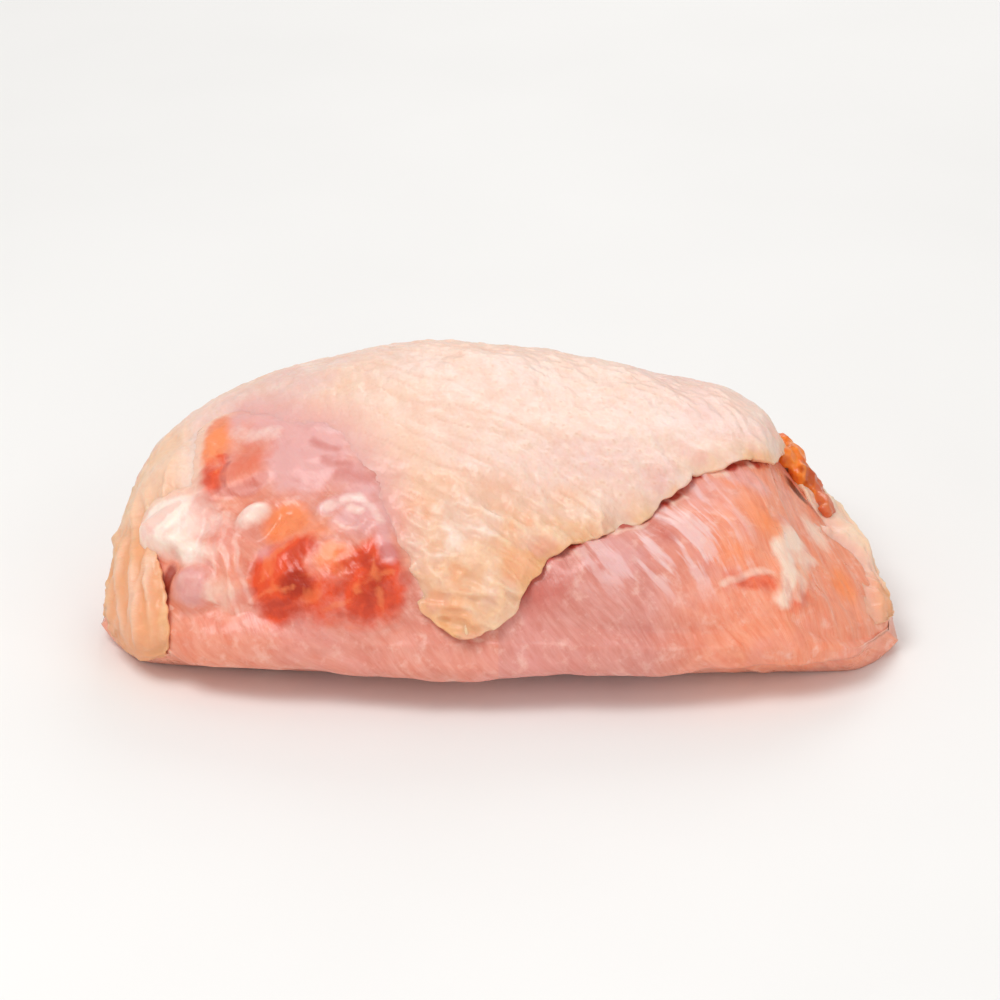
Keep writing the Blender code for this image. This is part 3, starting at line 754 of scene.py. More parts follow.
def window_forms(x, girth):
    """The heights of what shows in the shoulder opening: the wing joint's meat, gristle, tendons and film."""
    height = soft_highest(
        (
            5.4 * spot(x, girth, (-36.0, 157.0), (17.0, 14.5), -4, 3.4),
            4.2 * spot(x, girth, (-72.0, 135.0), (9.0, 9.5), 0, 3.2),
            5.2 * spot(x, girth, (-65.8, 159.5), (4.6, 6.8), 12, 3.0),
            5.2 * spot(x, girth, (-53.4, 138.0), (4.6, 3.2), -38, 2.4),
            2.6 * spot(x, girth, (-54.5, 120.5), (8.0, 6.0), 0, 2.6),
            2.8 * spot(x, girth, (-41.0, 117.0), (12.0, 12.0), 20, 2.4),
            3.6 * spot(x, girth, (-58.0, 152.0), (6.5, 13.0), -8, 2.6),
        )
    )
    height += 1.5 * ridge(x, girth, GRISTLE_RIDGE, 2.6)
    height += 1.3 * ridge(x, girth, CURL_OUTER, 1.9)
    height += 1.1 * ridge(x, girth, CURL_INNER, 1.2)
    height += 0.7 * ridge(x, girth, FILM_OVER_BULGE, 2.2)
    height += 1.5 * ridge(x, girth, BAND, 2.0)
    height += 0.9 * ridge(x, girth, STRAND, 1.2)
    height += 0.5 * ridge(x, girth, CREAM_STRIP, 1.8)
    for path in TISSUE_FOLDS:
        height += 0.7 * ridge(x, girth, path, 1.1)
    for path in FINGERS:
        height -= 0.5 * ridge(x, girth, path, 1.1)
    return height - 2.2 * spot(x, girth, (-72.6, 157.0), (1.8, 6.5), 8, 3.0)


def flesh_heights(x, girth):
    """The flesh's large forms, as heights over its smooth body."""
    tail = soft_highest(
        (
            3.4 * spot(x, girth, (32.0, 150.0), (35.0, 18.0), 16, 3.4),
            3.0 * spot(x, girth, (66.0, 158.0), (12.0, 13.0), -12, 3.0),
        )
    )
    tail += 0.7 * ridge(x, girth, FAT_BAND, 2.2) + 0.5 * ridge(x, girth, FAT_BRANCH, 1.8)
    low = soft_highest(
        (
            4.2 * spot(x, girth, (-56.0, 185.0), (26.0, 10.0), -8, 3.0),
            4.4 * spot(x, girth, (-14.0, 189.0), (32.0, 9.0), 4, 3.0),
            4.2 * spot(x, girth, (30.0, 187.0), (28.0, 9.0), -5, 3.0),
            3.8 * spot(x, girth, (64.0, 180.0), (16.0, 9.0), 10, 3.0),
        )
    )
    keel = 3.0 * np.exp(-(((girth - KEEL_GIRTH + 0.001 * x * x) / 7.5) ** 2)) * smooth_step(80, 66, np.abs(x))
    return soft_highest((window_forms(x, girth), tail, low, keel), 3) - 3.4 * spot(x, girth, PIT, (2.4, 3.2), 20)


def bare_depth(girth):
    """How far the bare meat lies inside the outer surface: a skin's thickness, and nothing underneath."""
    below = np.maximum(0.0, np.maximum(-girth, girth - 180.0)) / BELLY_FADE
    return SKIN_THICKNESS * (1 - np.minimum(below, 1.0) ** 2)


def underside_lift(points):
    """How far the underside rises over the table, and how much of that is rib: a shallow hollow, and ridges."""
    x, y = points[:, 0] + 2.0, points[:, 1] + 4.0
    hollow = HOLLOW_DEPTH * np.clip(1 - (x / 62.0) ** 2 - (y / 30.0) ** 2, 0, 1) ** 0.6
    ribs = np.zeros(len(points))
    for start in RIB_STARTS:
        centre = start + RIB_SLANT * y + 0.004 * y * y
        ribs = np.maximum(ribs, np.exp(-(((x - 2.0 - centre) / RIB_WIDTH) ** 2)))
    return hollow - RIB_HEIGHT * ribs * smooth_step(0, 2.5, hollow), ribs * smooth_step(0, 2.5, hollow)


def grid_steps():
    """The x stations and girths of the flesh's grid, closer together where the camera looks."""
    turn = np.linspace(-math.pi / 2, math.pi / 2, FLESH_STATIONS)
    x = (0.72 * turn / (math.pi / 2) + 0.28 * np.sin(turn)) * (LENGTH / 2 - FLESH_END)
    front = np.linspace(82, 206, FLESH_FRONT, endpoint=False)
    back = np.linspace(206, 442, FLESH_BACK, endpoint=False)
    return x, np.concatenate([front, back])


def flesh_relief(points, x, girth, masks):
    """The fine relief of the flesh: fibres of meat, folded gristle, lobules of fat, and soft films."""
    place = natural(x, girth)
    warp = 2.2 * value_noise(points, 14.0, 83)
    fibres = turned(place, FIBRE_TURN, 1.0, 1.0)
    along, across = fibres[:, 0], fibres[:, 1] - warp
    strands = layered_noise(np.stack([across / 1.5, along / 16.0], -1), 1.0, 89, 2)
    bundles = value_noise(np.stack([across / 4.5, along / 30.0], -1), 1.0, 97)
    grooves = crease_lines(np.stack([across / 3.6, along / 26.0], -1), 0.13, 99)
    firm = np.clip(masks["gristle"] + masks["bone"] + masks["fat"] + masks["fascia"], 0, 1)
    red = np.clip(masks["blood"] + masks["orange"], 0, 1)
    meat = (1 - firm) * (1 - 0.6 * red)
    relief = meat * (0.07 * strands + 0.34 * bundles - 0.12 * grooves)
    folds = ridged((place + 0.6 * warp[:, None]) / 5.5, 101, 3)
    relief += 0.90 * np.clip(masks["gristle"] + 0.5 * masks["fat"], 0, 1) * (folds - 0.5)
    relief += 0.75 * red * (ridged(turned(place, 65, 6.0, 3.2), 103, 3) - 0.5)
    film = layered_noise(turned(place + 0.5 * warp[:, None], 30, 5.0, 1.8), 1.0, 104, 2)
    relief += 0.48 * masks["fascia"] * film
    lobules = 1 - np.clip(cell_distances(place, (1.7, 1.4), 0.9, 105)[0] / 0.7, 0, 1) ** 2
    relief += 0.5 * masks["edge_shade_and_blood"] * (lobules - 0.6)
    relief += 0.09 * layered_noise(points, 1.9, 107, 2)
    return relief, folds, np.stack([across, along, points[:, 2]], -1)


def flesh_masks(x, girth, points, ribs):
    """Where each tissue shows, and where shade, highlights and sheen are painted, as masks from 0 to 1."""
    warp = 2.2 * np.stack([layered_noise(points, 6.0, 113, 3), layered_noise(points, 6.0, 127, 3)], -1)
    wx, wg = x + warp[:, 0], girth + warp[:, 1] / math.radians(GIRTH_RADIUS)

    def patch(middle, sizes, turn=0.0, power=3.0):
        return spot(wx, wg, middle, sizes, turn, power)

    def line(path, width):
        return ridge(wx, wg, path, width)

    masks = {}
    masks["blood"] = np.maximum.reduce(
        [
            patch((-46.5, 160.0), (7.6, 11.0), 8, 3.0),
            0.80 * patch((-43.0, 151.5), (6.5, 4.5), -20, 2.6),
            patch((-26.5, 160.5), (8.2, 12.0), 14, 3.2),
            0.70 * patch((-36.0, 164.0), (14.0, 8.0), 0, 2.4),
            0.72 * patch((-64.0, 119.5), (3.4, 7.4), 0, 2.2),
            0.65 * line(((-62.6, 112.0), (-61.8, 118.0), (-62.2, 124.0)), 1.5),
            0.60 * patch((56.0, 155.5), (9.0, 3.4), 4, 2.4),
            0.55 * patch((64.5, 158.0), (3.0, 7.0), 24, 2.4),
        ]
    )
    # Darker red: the blood's own clots in the red zones, and painted shade in the hollow under the fat clump, in
    # the groove below the gristle and beside the pale strand; a deep red line also runs along the torn strand.
    masks["dark_red_and_shade"] = np.maximum.reduce(
        [
            0.80 * patch((-43.5, 161.0), (4.6, 4.6), 0, 2.6),
            0.62 * patch((-26.0, 160.5), (5.5, 8.0), 15, 2.4),
            0.50 * patch((-46.0, 167.0), (10.0, 3.0), 0, 2.0),
            0.80 * spot(x, girth, PIT, (2.4, 3.2), 20, 3.0),
            0.70 * line(TORN_STRAND, 1.5),
            0.90 * spot(x, girth, (-72.8, 156.5), (1.7, 6.8), 8, 3.0),
            0.34 * patch((56.5, 156.5), (6.0, 2.4), 6),
            0.70 * line(((-60.9, 116.0), (-60.4, 124.0)), 0.8),
        ]
    )
    # Painted shadow: the hollow under the fat clump is painted nearly black-red.
    masks["pit"] = 0.95 * spot(wx, wg, PIT, (2.4, 3.6), 0, 2.4)
    masks["orange"] = np.maximum.reduce(
        [
            0.95 * patch((-46.0, 141.0), (6.5, 5.5), -10, 2.6),
            0.55 * patch((-38.0, 146.0), (8.0, 4.5), 0, 2.4),
            0.85 * patch((-33.5, 154.5), (6.0, 3.8), 10),
            0.86 * patch((-63.4, 104.5), (4.6, 9.5), 4, 2.0),
            0.65 * patch((60.5, 129.0), (9.0, 7.0), 10, 2.0),
            0.45 * patch((51.0, 146.0), (12.0, 7.0), -20, 2.0),
            0.80 * patch((66.0, 142.0), (2.6, 6.0), 20, 2.0),
            0.80 * patch((78.0, 132.0), (4.0, 12.0), 0, 2.0),
            0.50 * patch((73.5, 127.0), (4.0, 6.0), 0, 2.0),
        ]
    )
    masks["salmon"] = np.maximum.reduce(
        [
            0.85 * patch((-56.0, 117.5), (6.4, 8.2), 12, 1.8),
            0.4 * patch((-57.0, 160.0), (5.0, 9.0)),
        ]
    )
    masks["gristle"] = np.maximum.reduce(
        [
            0.92 * patch((-73.0, 133.5), (10.5, 11.5), 0, 3.0),
            0.75 * patch((-67.5, 146.0), (9.0, 4.5), 25, 2.6),
            0.46 * patch((-63.0, 138.0), (6.5, 8.0), 0, 2.4),
            0.95 * spot(x, girth, (-53.4, 138.0), (4.4, 3.2), -38, 3.0),
            0.30 * line(FILM_OVER_BULGE, 1.7),
            0.42 * line(CREAM_STRIP, 3.6),
            0.35 * patch((-65.8, 159.5), (4.4, 6.0), 15),
            0.58 * ridge(x, girth, CURL_INNER[:2], 1.5),
            0.42 * ridge(x, girth, CURL_INNER[3:], 1.4),
            0.50 * ridge(x, girth, CURL_OUTER[:5], 1.7),
            np.exp(-(((girth - KEEL_GIRTH + 0.001 * x * x) / 6.5) ** 2)) * smooth_step(80, 66, np.abs(x)),
        ]
        + [0.45 * ridge(wx, wg, path, 1.0) for path in TISSUE_FOLDS]
    )
    masks["fascia"] = np.maximum.reduce(
        [
            0.95 * patch((-42.0, 117.0), (11.5, 13.5), 20, 3.6),
            0.8 * patch((-30.5, 142.0), (6.5, 6.0)),
            0.8 * ridge(x, girth, CURL_OUTER, 2.4),
            0.9 * patch((-65.8, 160.0), (4.8, 6.8), 15),
            0.4 * patch((-63.5, 141.0), (5.0, 8.0)),
            0.6 * patch((-49.5, 150.5), (3.6, 3.6), 0, 2.0),
            0.5 * patch((25.0, 151.0), (9.0, 8.0), -8),
            0.5 * patch((46.0, 124.0), (9.0, 9.0), 20),
            0.6 * patch((55.5, 114.5), (8.0, 5.0), 10, 2.4),
        ]
    )
    # Darker rosy tone: the meat's own rosy patches, and painted shade along the finger grooves, under the salmon
    # patch and under the foot of the band.
    masks["rose_and_shade"] = np.maximum.reduce(
        [0.62 * line(path, 1.9) for path in FINGERS]
        + [0.95 * line(SHADOW_UNDER_SALMON, 2.1), 0.6 * patch((-66.0, 160.0), (4.4, 6.5), 15, 2.0)]
        + [0.36 * patch((-31.0, 128.0), (6.0, 6.0)), 0.7 * patch((33.0, 139.0), (7.0, 3.0), 35)]
        + [0.8 * patch((9.0, 160.0), (9.0, 9.0), -10, 2.4), 0.7 * patch((-64.8, 129.5), (4.2, 3.8), 0, 2.2)]
    )
    # Pale streaks on the wet film of the flank: painted sheen over the film's own whitish tone, with a painted
    # highlight spot.
    lit = spot(wx, wg, (31.0, 142.0), (7.0, 5.0), 40, 3.0)
    film_sheen = smooth_step(12, 24, x) * smooth_step(168, 150, wg) * smooth_step(60, 44, wx) * smooth_step(92, 104, wg)
    masks["film_sheen"] = np.maximum(0.85 * film_sheen, lit)
    masks["fat"] = np.maximum.reduce(
        [
            0.84 * line(FAT_BAND, 2.8),
            0.56 * line(FAT_BRANCH, 2.4),
            0.55 * line(((48.0, 158.0), (57.0, 151.0)), 1.6),
            0.55 * patch((66.0, 131.0), (5.0, 7.0), 20, 2.0),
            0.50 * patch((-59.0, 162.0), (5.0, 7.0)),
            0.65 * patch((73.0, 108.0), (4.5, 8.0), 0, 2.4),
        ]
    )
    masks["bone"] = ribs
    masks["warm"] = np.where(x > 0, smooth_step(24, 56, wx), 0.35 + 0.35 * smooth_step(-30, -70, wx))
    masks["warm"] = np.where((girth < 60) | (girth > 300), 0.5, masks["warm"])
    return masks


def make_flesh(skin_curve, material):
    """The flesh under and beyond the skin: one closed grid round the piece, with its forms as heights."""
    stations, girths = grid_steps()
    x, girth = (part.ravel() for part in np.meshgrid(stations, girths, indexing="ij"))
    turn = np.where(girth > 270, girth - 360, girth)
    wobble = 1.6 * np.stack(
        [value_noise(np.stack([x, girth_to_flat(turn), 0 * x], -1), 9.0, seed) for seed in (131, 137)], -1
    )
    wx, wg = x + wobble[:, 0], turn + wobble[:, 1] / math.radians(GIRTH_RADIUS)
    gap = signed_gap(np.stack([x, girth_to_flat(turn)], -1), skin_curve)
    melting = window_edge(x, turn)
    melt = melting * np.exp(-((gap / np.where(gap < 0, 6.0, 8.0)) ** 2))
    free_edge = (0.45 + 0.55 * smooth_step(0.5, 7.0, gap)) * smooth_step(-1.5, 1.5, gap)
    shown = free_edge * (1 - melting) + smooth_step(-9.0, 0.0, gap) * melting
    heights = soft_highest((flesh_heights(wx, wg) * shown, 2.6 * melt), 4)
    points = on_body(x, turn, heights - bare_depth(turn))
    below = points[:, 2] < 0
    points[below, 2] = 0
    lift, ribs = underside_lift(points)
    under = (turn < -40) | (turn > 220)
    points[:, 2] = np.where(under & (points[:, 2] < lift), lift, points[:, 2])
    masks = flesh_masks(x, turn, points, ribs * under)
    flat = np.stack([x, girth_to_flat(turn)], -1)
    # Deep red painted along the skin's free edge: painted shade under the edge, and blood at the torn notches,
    # where it is strongest.
    torn = 0.10 + 0.40 * smooth_step(0.1, 0.5, value_noise(flat, 5.0, 138)) + 1.1 * notches(flat)
    masks["edge_shade_and_blood"] = np.clip(torn, 0, 1) * np.exp(-((gap / 1.7) ** 2)) * (1 - melting)
    shreds = smooth_step(0.0, 0.35, layered_noise(flat, 4.4, 144, 2)) * np.exp(-(((gap - 0.8) / 1.8) ** 2))
    masks["fat"] = np.maximum(masks["fat"], 0.55 * shreds * (1 - melting) * smooth_step(100, 108, turn))
    film = smooth_step(-64, -58, x) * smooth_step(154, 143, turn)
    masks["fascia"] = np.maximum(masks["fascia"], 0.7 * film * melt)
    veil = smooth_step(2.0, -3.0, gap + 1.6 * layered_noise(flat, 5.0, 142, 3))
    masks["veil"] = veil * melting * (1 - 0.75 * film) * (1 - 0.8 * np.clip(masks["blood"], 0, 1))
    normals = body_normals(x, turn)
    relief, folds, grain = flesh_relief(points, x, turn, masks)
    points = points + normals * (relief * np.where(under, 0.4, 1.0) * smooth_step(0.0, 1.5, points[:, 2]))[:, None]
    points[:, 2] = np.maximum(points[:, 2], 0.0)
    masks["fold"] = folds
    masks["grain"] = grain

    rows, around = len(stations), len(girths)
    r, k = (part.ravel() for part in np.meshgrid(np.arange(rows - 1), np.arange(around), indexing="ij"))
    ahead = (k + 1) % around
    quads = np.stack([r * around + k, r * around + ahead, (r + 1) * around + ahead, (r + 1) * around + k], -1)
    faces = [tuple(q) for q in quads.tolist()]
    faces.append(tuple(reversed(range(around))))
    faces.append(tuple(range((rows - 1) * around, rows * around)))
    flesh = add_mesh("flesh", points, faces, material)
    set_masks(flesh, masks)
    return flesh


def lump(x, girth, out, sizes, turn=0.0, rough=0.0):
    """The bmesh of an uneven rounded lump. Its sizes are half its length along the piece, half its width
    round it and half its height, and turn is in degrees about the surface normal."""
    up = body_normals(np.array([float(x)]), np.array([float(girth)]))[0]
    along = np.array((1.0, 0, 0)) - up * up[0]
    along /= np.linalg.norm(along)
    side = np.cross(up, along)
    turned = along * math.cos(math.radians(turn)) + side * math.sin(math.radians(turn))
    axes = np.array([turned, np.cross(up, turned), up])
    middle = on_body([x], [girth], out)[0]
    bm = bmesh.new()
    bmesh.ops.create_icosphere(bm, subdivisions=3, radius=1.0)
    for vert in bm.verts:
        swell = 1 + rough * noise.noise(vert.co * 1.7 + Vector(middle) * 0.13)
        vert.co = middle + (np.array(vert.co) * sizes * swell) @ axes
    return bm


def fused(name, bmeshes, voxel, rounds):
    """The points, normals and faces of one closed mesh made of overlapping closed forms."""
    whole = bmesh.new()
    for bm in bmeshes:
        piece = bpy.data.meshes.new("piece")
        bm.to_mesh(piece)
        bm.free()
        whole.from_mesh(piece)
        bpy.data.meshes.remove(piece)
    mesh = bpy.data.meshes.new(name)
    whole.to_mesh(mesh)
    whole.free()
    form = bpy.data.objects.new(name, mesh)
    bpy.context.scene.collection.objects.link(form)
    remesh = form.modifiers.new("fuse", "REMESH")
    remesh.mode = "VOXEL"
    remesh.voxel_size = voxel
    soften = form.modifiers.new("soften", "SMOOTH")
    soften.factor = 0.5
    soften.iterations = rounds
    depsgraph = bpy.context.evaluated_depsgraph_get()
    made = bpy.data.meshes.new_from_object(form.evaluated_get(depsgraph))
    bpy.data.objects.remove(form)
    points = np.empty(len(made.vertices) * 3)
    made.vertices.foreach_get("co", points)
    normals = np.empty(len(made.vertices) * 3)
    made.vertices.foreach_get("normal", normals)
    faces = [tuple(p.vertices) for p in made.polygons]
    return points.reshape(-1, 3), normals.reshape(-1, 3), faces


def make_fat(material):
    """The golden clump of fat at the skin's corner."""
    forms = [
        lump(66.0, 61, -0.8, (2.6, 3.0, 2.2), 20, 0.5),
        lump(67.8, 68, -0.8, (3.6, 3.4, 2.8), -30, 0.5),
        lump(70.2, 74, -1.0, (3.8, 3.0, 2.6), 10, 0.5),
        lump(73.0, 70, -1.4, (2.8, 2.8, 2.2), 60, 0.5),
        lump(66.6, 77, -1.8, (2.6, 2.6, 2.0), -20, 0.5),
        lump(74.4, 78, -1.2, (4.6, 1.9, 1.7), -65, 0.4),
        lump(75.4, 84, -1.6, (2.8, 2.0, 1.6), 50, 0.4),
    ]
    points, normals, faces = fused("fat_forms", forms, FAT_VOXEL, 14)
    folds = ridged(points / 5.5, 139, 2)
    fat = add_mesh("fat_clump", points + normals * (0.5 * (folds - 0.5))[:, None], faces, material)
    set_masks(fat, {"fold": folds, "torn": smooth_step(70.8, 73.4, points[:, 0])})
    return fat


# Materials


class Nodes:
    """A short way to write a material's node tree."""

    def __init__(self, name):
        self.material = bpy.data.materials.new(name)
        self.material.use_nodes = True
        self.tree = self.material.node_tree
        self.surface = self.tree.nodes["Principled BSDF"]

    def add(self, kind, **settings):
        node = self.tree.nodes.new(kind)
        for key, value in settings.items():
            setattr(node, key, value)
        return node

    def link(self, source, target):
        self.tree.links.new(source, target)

    def feed(self, socket, value):
        if isinstance(value, bpy.types.NodeSocket):
            self.link(value, socket)
        elif value is not None:
            socket.default_value = value

    def mask(self, name):
        return self.add("ShaderNodeAttribute", attribute_name=name).outputs["Fac"]

    def vector(self, name):
        return self.add("ShaderNodeAttribute", attribute_name=name).outputs["Vector"]

    def math(self, operation, a, b=None, clamp=False):
        node = self.add("ShaderNodeMath", operation=operation, use_clamp=clamp)
        self.feed(node.inputs[0], a)
        self.feed(node.inputs[1], b)
        return node.outputs[0]

    def noise(self, scale, detail=3.0, roughness=0.55, vector=None, stretch=None):
        place = vector or self.add("ShaderNodeTexCoord").outputs["Object"]
        if stretch:
            mapping = self.add("ShaderNodeMapping")
            self.link(place, mapping.inputs["Vector"])
            mapping.inputs["Scale"].default_value = stretch
            place = mapping.outputs["Vector"]
        node = self.add("ShaderNodeTexNoise")
        self.link(place, node.inputs["Vector"])
        node.inputs["Scale"].default_value = scale
        node.inputs["Detail"].default_value = detail
        node.inputs["Roughness"].default_value = roughness
        return node.outputs["Fac"]

    def spread(self, value, low, high, to_low=0.0, to_high=1.0):
        node = self.add("ShaderNodeMapRange")
        self.feed(node.inputs["Value"], value)
        for key, number in zip(("From Min", "From Max", "To Min", "To Max"), (low, high, to_low, to_high)):
            node.inputs[key].default_value = number
        return node.outputs[0]

    def mix(self, share, a, b, blend="MIX"):
        node = self.add("ShaderNodeMix", data_type="RGBA", blend_type=blend)
        self.feed(node.inputs[0], share)
        self.feed(node.inputs[6], a)
        self.feed(node.inputs[7], b)
        return node.outputs[2]

    def bump(self, heights, distance, normal=None, strength=1.0):
        node = self.add("ShaderNodeBump")
        self.feed(node.inputs["Height"], heights)
        node.inputs["Distance"].default_value = distance
        node.inputs["Strength"].default_value = strength
        if normal:
            self.link(normal, node.inputs["Normal"])
        return node.outputs["Normal"]


def colour(red, green, blue):
    """A display colour from 0 to 255 as the linear colour that a shader takes."""
    parts = []
    for value in (red, green, blue):
        share = value / 255
        parts.append(share / 12.92 if share <= 0.04045 else ((share + 0.055) / 1.055) ** 2.4)
    return (*parts, 1.0)


def ragged(n, mask, amount, scale, low=0.35, high=0.65):
    """A mask whose border is broken up by noise."""
    wander = n.math("SUBTRACT", n.noise(scale, 6.0, 0.64), 0.5)
    moved = n.math("ADD", mask, n.math("MULTIPLY", wander, amount))
    return n.spread(moved, low, high)


def skin_material():
    """Moist chicken skin: cream fat, pink where meat shows through, paler pimples, and warm painted shade in its
    creases and follicle pits.
    """
    n = Nodes("chicken_skin")
    base = n.mix(n.spread(n.noise(38.0, 4.0), 0.3, 0.7), colour(246, 217, 206), colour(246, 209, 188))
    fat = n.math("MULTIPLY", ragged(n, n.mask("fat"), 0.55, 70.0, 0.25, 0.95), 0.8)
    base = n.mix(fat, base, colour(247, 200, 152))
    thin = n.math("MULTIPLY", ragged(n, n.mask("thin"), 0.55, 80.0, 0.2, 0.9), 0.6)
    base = n.mix(thin, base, colour(232, 190, 186))
    mottle = n.spread(n.noise(260.0, 4.0, 0.65), 0.42, 0.72)
    base = n.mix(n.math("MULTIPLY", mottle, 0.34), base, colour(240, 192, 168))
    pale = n.spread(n.noise(120.0, 4.0, 0.6), 0.50, 0.75)
    base = n.mix(n.math("MULTIPLY", pale, 0.42), base, colour(252, 234, 220))
    base = n.mix(n.math("MULTIPLY", n.mask("pimple"), 0.38), base, colour(255, 234, 214))
    # Painted shade in the follicle pits.
    base = n.mix(n.math("MULTIPLY", n.mask("pit"), 0.50), base, colour(214, 148, 120))
    # Warm painted shade in the creases and fold valleys.
    base = n.mix(n.math("MULTIPLY", n.mask("crease_shade"), 0.46), base, colour(226, 166, 130))
    # The strip's own orange and lobe patches, with painted shade between the pleats.
    base = n.mix(n.math("MULTIPLY", n.mask("tail"), 0.72), base, colour(240, 160, 104))
    base = n.mix(n.math("MULTIPLY", n.mask("melt"), 0.80), base, colour(230, 164, 158))
    edge = n.math("MULTIPLY", ragged(n, n.mask("rim"), 0.9, 260.0, 0.2, 0.9), 0.55)
    base = n.mix(edge, base, colour(240, 176, 118))
    fat_below = n.mix(n.spread(n.noise(420.0, 3.0), 0.4, 0.65), colour(252, 206, 160), colour(226, 128, 92))
    base = n.mix(n.mask("under"), base, fat_below)
    wet_surface(n, base, n.spread(n.noise(160.0, 3.0), 0.3, 0.7, 0.34, 0.54), 0.003, 0.3)
    n.surface.inputs["Coat Weight"].default_value = 0.3
    n.surface.inputs["Coat Roughness"].default_value = 0.22
    fine = n.bump(n.noise(1100.0, 4.0, 0.6), 0.00014)
    lines = n.noise(620.0, 3.0, 0.6, stretch=(1.0, 0.4, 1.0))
    n.link(n.bump(lines, 0.0002, fine), n.surface.inputs["Normal"])
    return n.material


def wet_surface(n, base, rough, depth, weight):
    """The shader settings that moist raw tissue shares."""
    s = n.surface
    n.link(base, s.inputs["Base Color"])
    n.link(rough, s.inputs["Roughness"])
    s.inputs["Subsurface Weight"].default_value = weight
    s.inputs["Subsurface Radius"].default_value = (1.0, 0.40, 0.25)
    s.inputs["Subsurface Scale"].default_value = depth
    s.inputs["IOR"].default_value = 1.4


def flesh_material():
    """Raw meat with its film, blood, fat, cartilage and bone, laid over each other by masks, with painted shade in
    hollows, grooves and fold valleys, painted highlights on the red folds and a painted sheen on the film.
    """
    n = Nodes("raw_flesh")
    grain = n.vector("grain")
    fibre = n.noise(1.0, 4.0, 0.6, vector=grain, stretch=(0.55, 0.05, 0.2))
    fine_fibre = n.noise(1.0, 2.0, 0.5, vector=grain, stretch=(1.5, 0.05, 0.25))
    cool = n.mix(n.spread(fibre, 0.3, 0.7), colour(210, 128, 113), colour(227, 158, 146))
    warm = n.mix(n.spread(fibre, 0.3, 0.7), colour(236, 132, 94), colour(246, 166, 134))
    base = n.mix(ragged(n, n.mask("warm"), 0.6, 55.0, 0.1, 0.9), cool, warm)
    base = n.mix(n.math("MULTIPLY", n.spread(fine_fibre, 0.45, 0.80), 0.12), base, colour(252, 210, 194))
    blotch = n.spread(n.noise(45.0, 3.0, 0.5), 0.52, 0.70, 0.0, 0.45)
    base = n.mix(n.math("MULTIPLY", blotch, n.mask("warm")), base, colour(248, 150, 112))
    blush = n.spread(n.noise(70.0, 3.0, 0.5), 0.52, 0.70, 0.0, 0.40)
    base = n.mix(blush, base, colour(232, 156, 150))
    # Painted sheen: pale streaks along the wet film where its mask allows.
    film = n.noise(1.0, 3.0, 0.55, vector=grain, stretch=(0.38, 0.05, 0.1))
    film_sheen = n.math("MULTIPLY", n.mask("film_sheen"), n.spread(film, 0.48, 0.58))
    base = n.mix(n.math("MULTIPLY", film_sheen, 0.75), base, colour(246, 214, 212))
    meat = n.math("SUBTRACT", 1.0, n.math("MAXIMUM", n.mask("blood"), n.mask("gristle")))
    pale = n.math("MULTIPLY", n.spread(n.noise(330.0, 4.0, 0.6), 0.54, 0.74, 0.0, 0.40), meat)
    base = n.mix(pale, base, colour(254, 216, 200))
    # Some layers below paint shade as well as tissue colour: the darker red, the darker rosy tone, the line along
    # the skin's edge and the hollow under the clump.
    layers = (
        ("orange", 0.88, colour(250, 142, 84), 0.7),
        ("blood", 0.95, colour(230, 72, 14), 0.9),
        ("dark_red_and_shade", 0.80, colour(156, 28, 0), 0.9),
        ("fascia", 0.80, colour(230, 174, 172), 0.6),
        ("salmon", 0.78, colour(228, 110, 78), 0.8),
        ("rose_and_shade", 0.60, colour(196, 92, 78), 0.7),
        ("bone", 0.75, colour(236, 198, 182), 0.4),
        ("gristle", 0.95, colour(254, 234, 220), 0.6),
        ("fat", 0.86, colour(255, 225, 204), 0.7),
        ("veil", 0.85, colour(249, 206, 182), 0.6),
        ("edge_shade_and_blood", 0.85, colour(178, 34, 12), 0.8),
        ("pit", 0.95, colour(84, 14, 6), 0.3),
    )
    for name, strength, shade, breakup in layers:
        share = ragged(n, n.mask(name), breakup, 170.0, 0.28, 0.72)
        base = n.mix(n.math("MULTIPLY", share, strength), base, shade)
    # Pink in the valleys of the gristle's folds: partly its own translucent tone, partly painted shade.
    valley = n.math("MULTIPLY", n.spread(n.mask("fold"), 0.55, 0.25), n.mask("gristle"))
    base = n.mix(n.math("MULTIPLY", valley, 0.45), base, colour(236, 164, 150))
    red = n.math("MAXIMUM", n.mask("blood"), n.mask("orange"))
    # Painted highlight: a light orange on the crests of the red folds.
    crest_highlight = n.math("MULTIPLY", n.spread(n.mask("fold"), 0.60, 0.80), red)
    base = n.mix(n.math("MULTIPLY", crest_highlight, 0.45), base, colour(252, 146, 88))
    # Painted shade: deep red in the valleys of the blood's folds.
    trough_shade = n.math("MULTIPLY", n.spread(n.mask("fold"), 0.42, 0.22), n.mask("blood"))
    base = n.mix(n.math("MULTIPLY", trough_shade, 0.55), base, colour(178, 38, 10))
    deep = n.spread(n.noise(210.0, 4.0), 0.55, 0.78, 0.0, 0.30)
    base = n.mix(deep, base, colour(196, 82, 56))
    wet = n.spread(n.noise(120.0, 3.0), 0.3, 0.7, 0.24, 0.42)
    matt = n.math("MULTIPLY", n.math("MAXIMUM", n.mask("fascia"), n.mask("gristle")), 0.16)
    wet_surface(n, base, n.math("ADD", wet, matt), 0.003, 0.3)
    n.surface.inputs["Coat Weight"].default_value = 0.30
    n.surface.inputs["Coat Roughness"].default_value = 0.22
    soft = n.bump(fine_fibre, 0.00014)
    n.link(n.bump(n.noise(600.0, 3.0), 0.00012, soft), n.surface.inputs["Normal"])
    return n.material


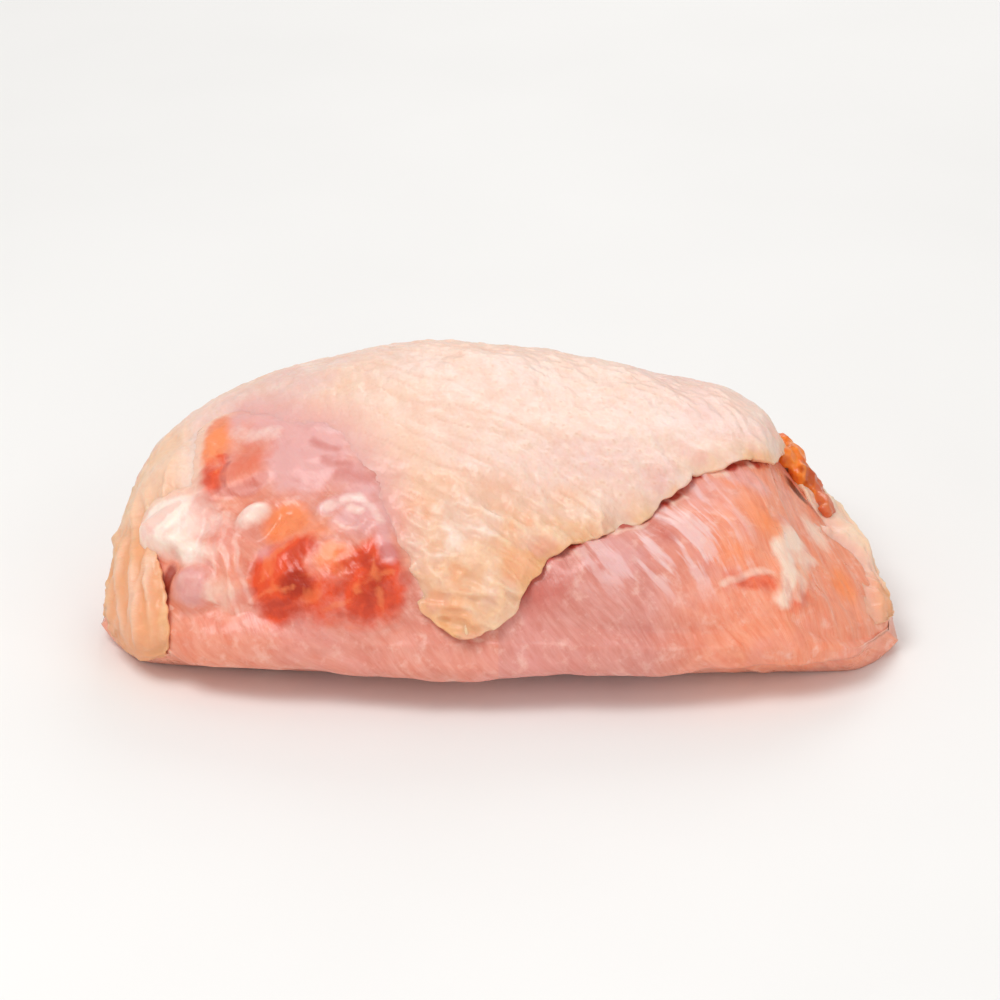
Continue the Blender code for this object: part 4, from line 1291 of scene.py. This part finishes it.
def fat_material():
    """Wet golden fat, with painted shade in its folds."""
    n = Nodes("golden_fat")
    base = n.mix(n.spread(n.noise(300.0, 4.0), 0.3, 0.7), colour(240, 108, 10), colour(252, 156, 60))
    # Painted shade: a darker brown in the valleys of the folds.
    base = n.mix(n.spread(n.mask("fold"), 0.5, 0.25, 0.0, 0.7), base, colour(176, 60, 10))
    torn = n.math("MULTIPLY", ragged(n, n.mask("torn"), 0.6, 300.0), 0.75)
    base = n.mix(torn, base, colour(206, 104, 70))
    wet_surface(n, base, n.spread(n.noise(140.0, 3.0), 0.3, 0.7, 0.26, 0.46), 0.002, 0.25)
    n.surface.inputs["Coat Weight"].default_value = 0.3
    n.surface.inputs["Coat Roughness"].default_value = 0.16
    n.link(n.bump(n.noise(500.0, 3.0), 0.00015), n.surface.inputs["Normal"])
    return n.material


def floor_material():
    """A plain pale board with a faint unevenness."""
    n = Nodes("pale_floor")
    tone = n.mix(n.spread(n.noise(6.0, 3.0), 0.3, 0.7), colour(240, 239, 237), colour(244, 243, 241))
    n.link(tone, n.surface.inputs["Base Color"])
    n.surface.inputs["Roughness"].default_value = 0.7
    return n.material


# The stage


def make_floor():
    """A wide plain floor at the height the piece rests on."""
    half = 3.0
    mesh = bpy.data.meshes.new("floor")
    mesh.from_pydata([(-half, -half, 0), (half, -half, 0), (half, half, 0), (-half, half, 0)], [], [(0, 1, 2, 3)])
    mesh.materials.append(floor_material())
    floor = bpy.data.objects.new("floor", mesh)
    bpy.context.scene.collection.objects.link(floor)


def aim(thing, target):
    """Turns a light or camera towards a point."""
    thing.rotation_euler = (Vector(target) - thing.location).to_track_quat("-Z", "Y").to_euler()


def add_area_light(name, place, target, size, power, tint=(1.0, 1.0, 1.0)):
    """A soft square light aimed at a point."""
    data = bpy.data.lights.new(name, "AREA")
    data.size = size
    data.energy = power
    data.color = tint
    light = bpy.data.objects.new(name, data)
    light.location = place
    bpy.context.scene.collection.objects.link(light)
    aim(light, target)


def light_stage():
    """A large soft key from above and the left, a front fill, and a bright even surround."""
    add_area_light("key", (-0.35, -0.30, 0.85), (0, 0, 0.03), 0.42, 4.05)
    add_area_light("fill", (0.55, -0.75, 0.45), (0, 0, 0.03), 0.7, 1.9)
    add_area_light("rim", (0.15, 0.75, 0.55), (0, 0, 0.03), 0.5, 1.7)
    world = bpy.data.worlds.new("surround")
    bpy.context.scene.world = world
    world.use_nodes = True
    background = world.node_tree.nodes["Background"]
    background.inputs["Color"].default_value = (1.0, 0.99, 0.98, 1.0)
    background.inputs["Strength"].default_value = 0.55
    bpy.context.scene.view_settings.view_transform = "Standard"


CAMERA_TILT = 28.0
CAMERA_DISTANCE = 0.670
CAMERA_TARGET = (0.0, -0.0005, 0.026)
CAMERA_LENS = 106.7


def place_camera():
    """A camera at the photograph's viewing angle."""
    data = bpy.data.cameras.new("camera")
    data.lens = CAMERA_LENS
    data.sensor_width = 36.0
    camera = bpy.data.objects.new("camera", data)
    tilt = math.radians(CAMERA_TILT)
    away = Vector((0.0, -math.cos(tilt), math.sin(tilt))) * CAMERA_DISTANCE
    camera.location = Vector(CAMERA_TARGET) + away
    bpy.context.scene.collection.objects.link(camera)
    aim(camera, CAMERA_TARGET)
    bpy.context.scene.camera = camera


def main():
    make_floor()
    light_stage()
    place_camera()
    skin_curve = flat_outline(SKIN_EDGE, EDGE_STEPS, SKIN_EDGE_WAVE)
    raw_skin = skin_material()
    pieces = [
        make_flesh(skin_curve, flesh_material()),
        make_skin(skin_curve, raw_skin),
        make_fringe(skin_curve, raw_skin),
        make_fat(fat_material()),
    ]
    for piece in pieces:
        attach(piece, "root")
    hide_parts(NODE)


main()
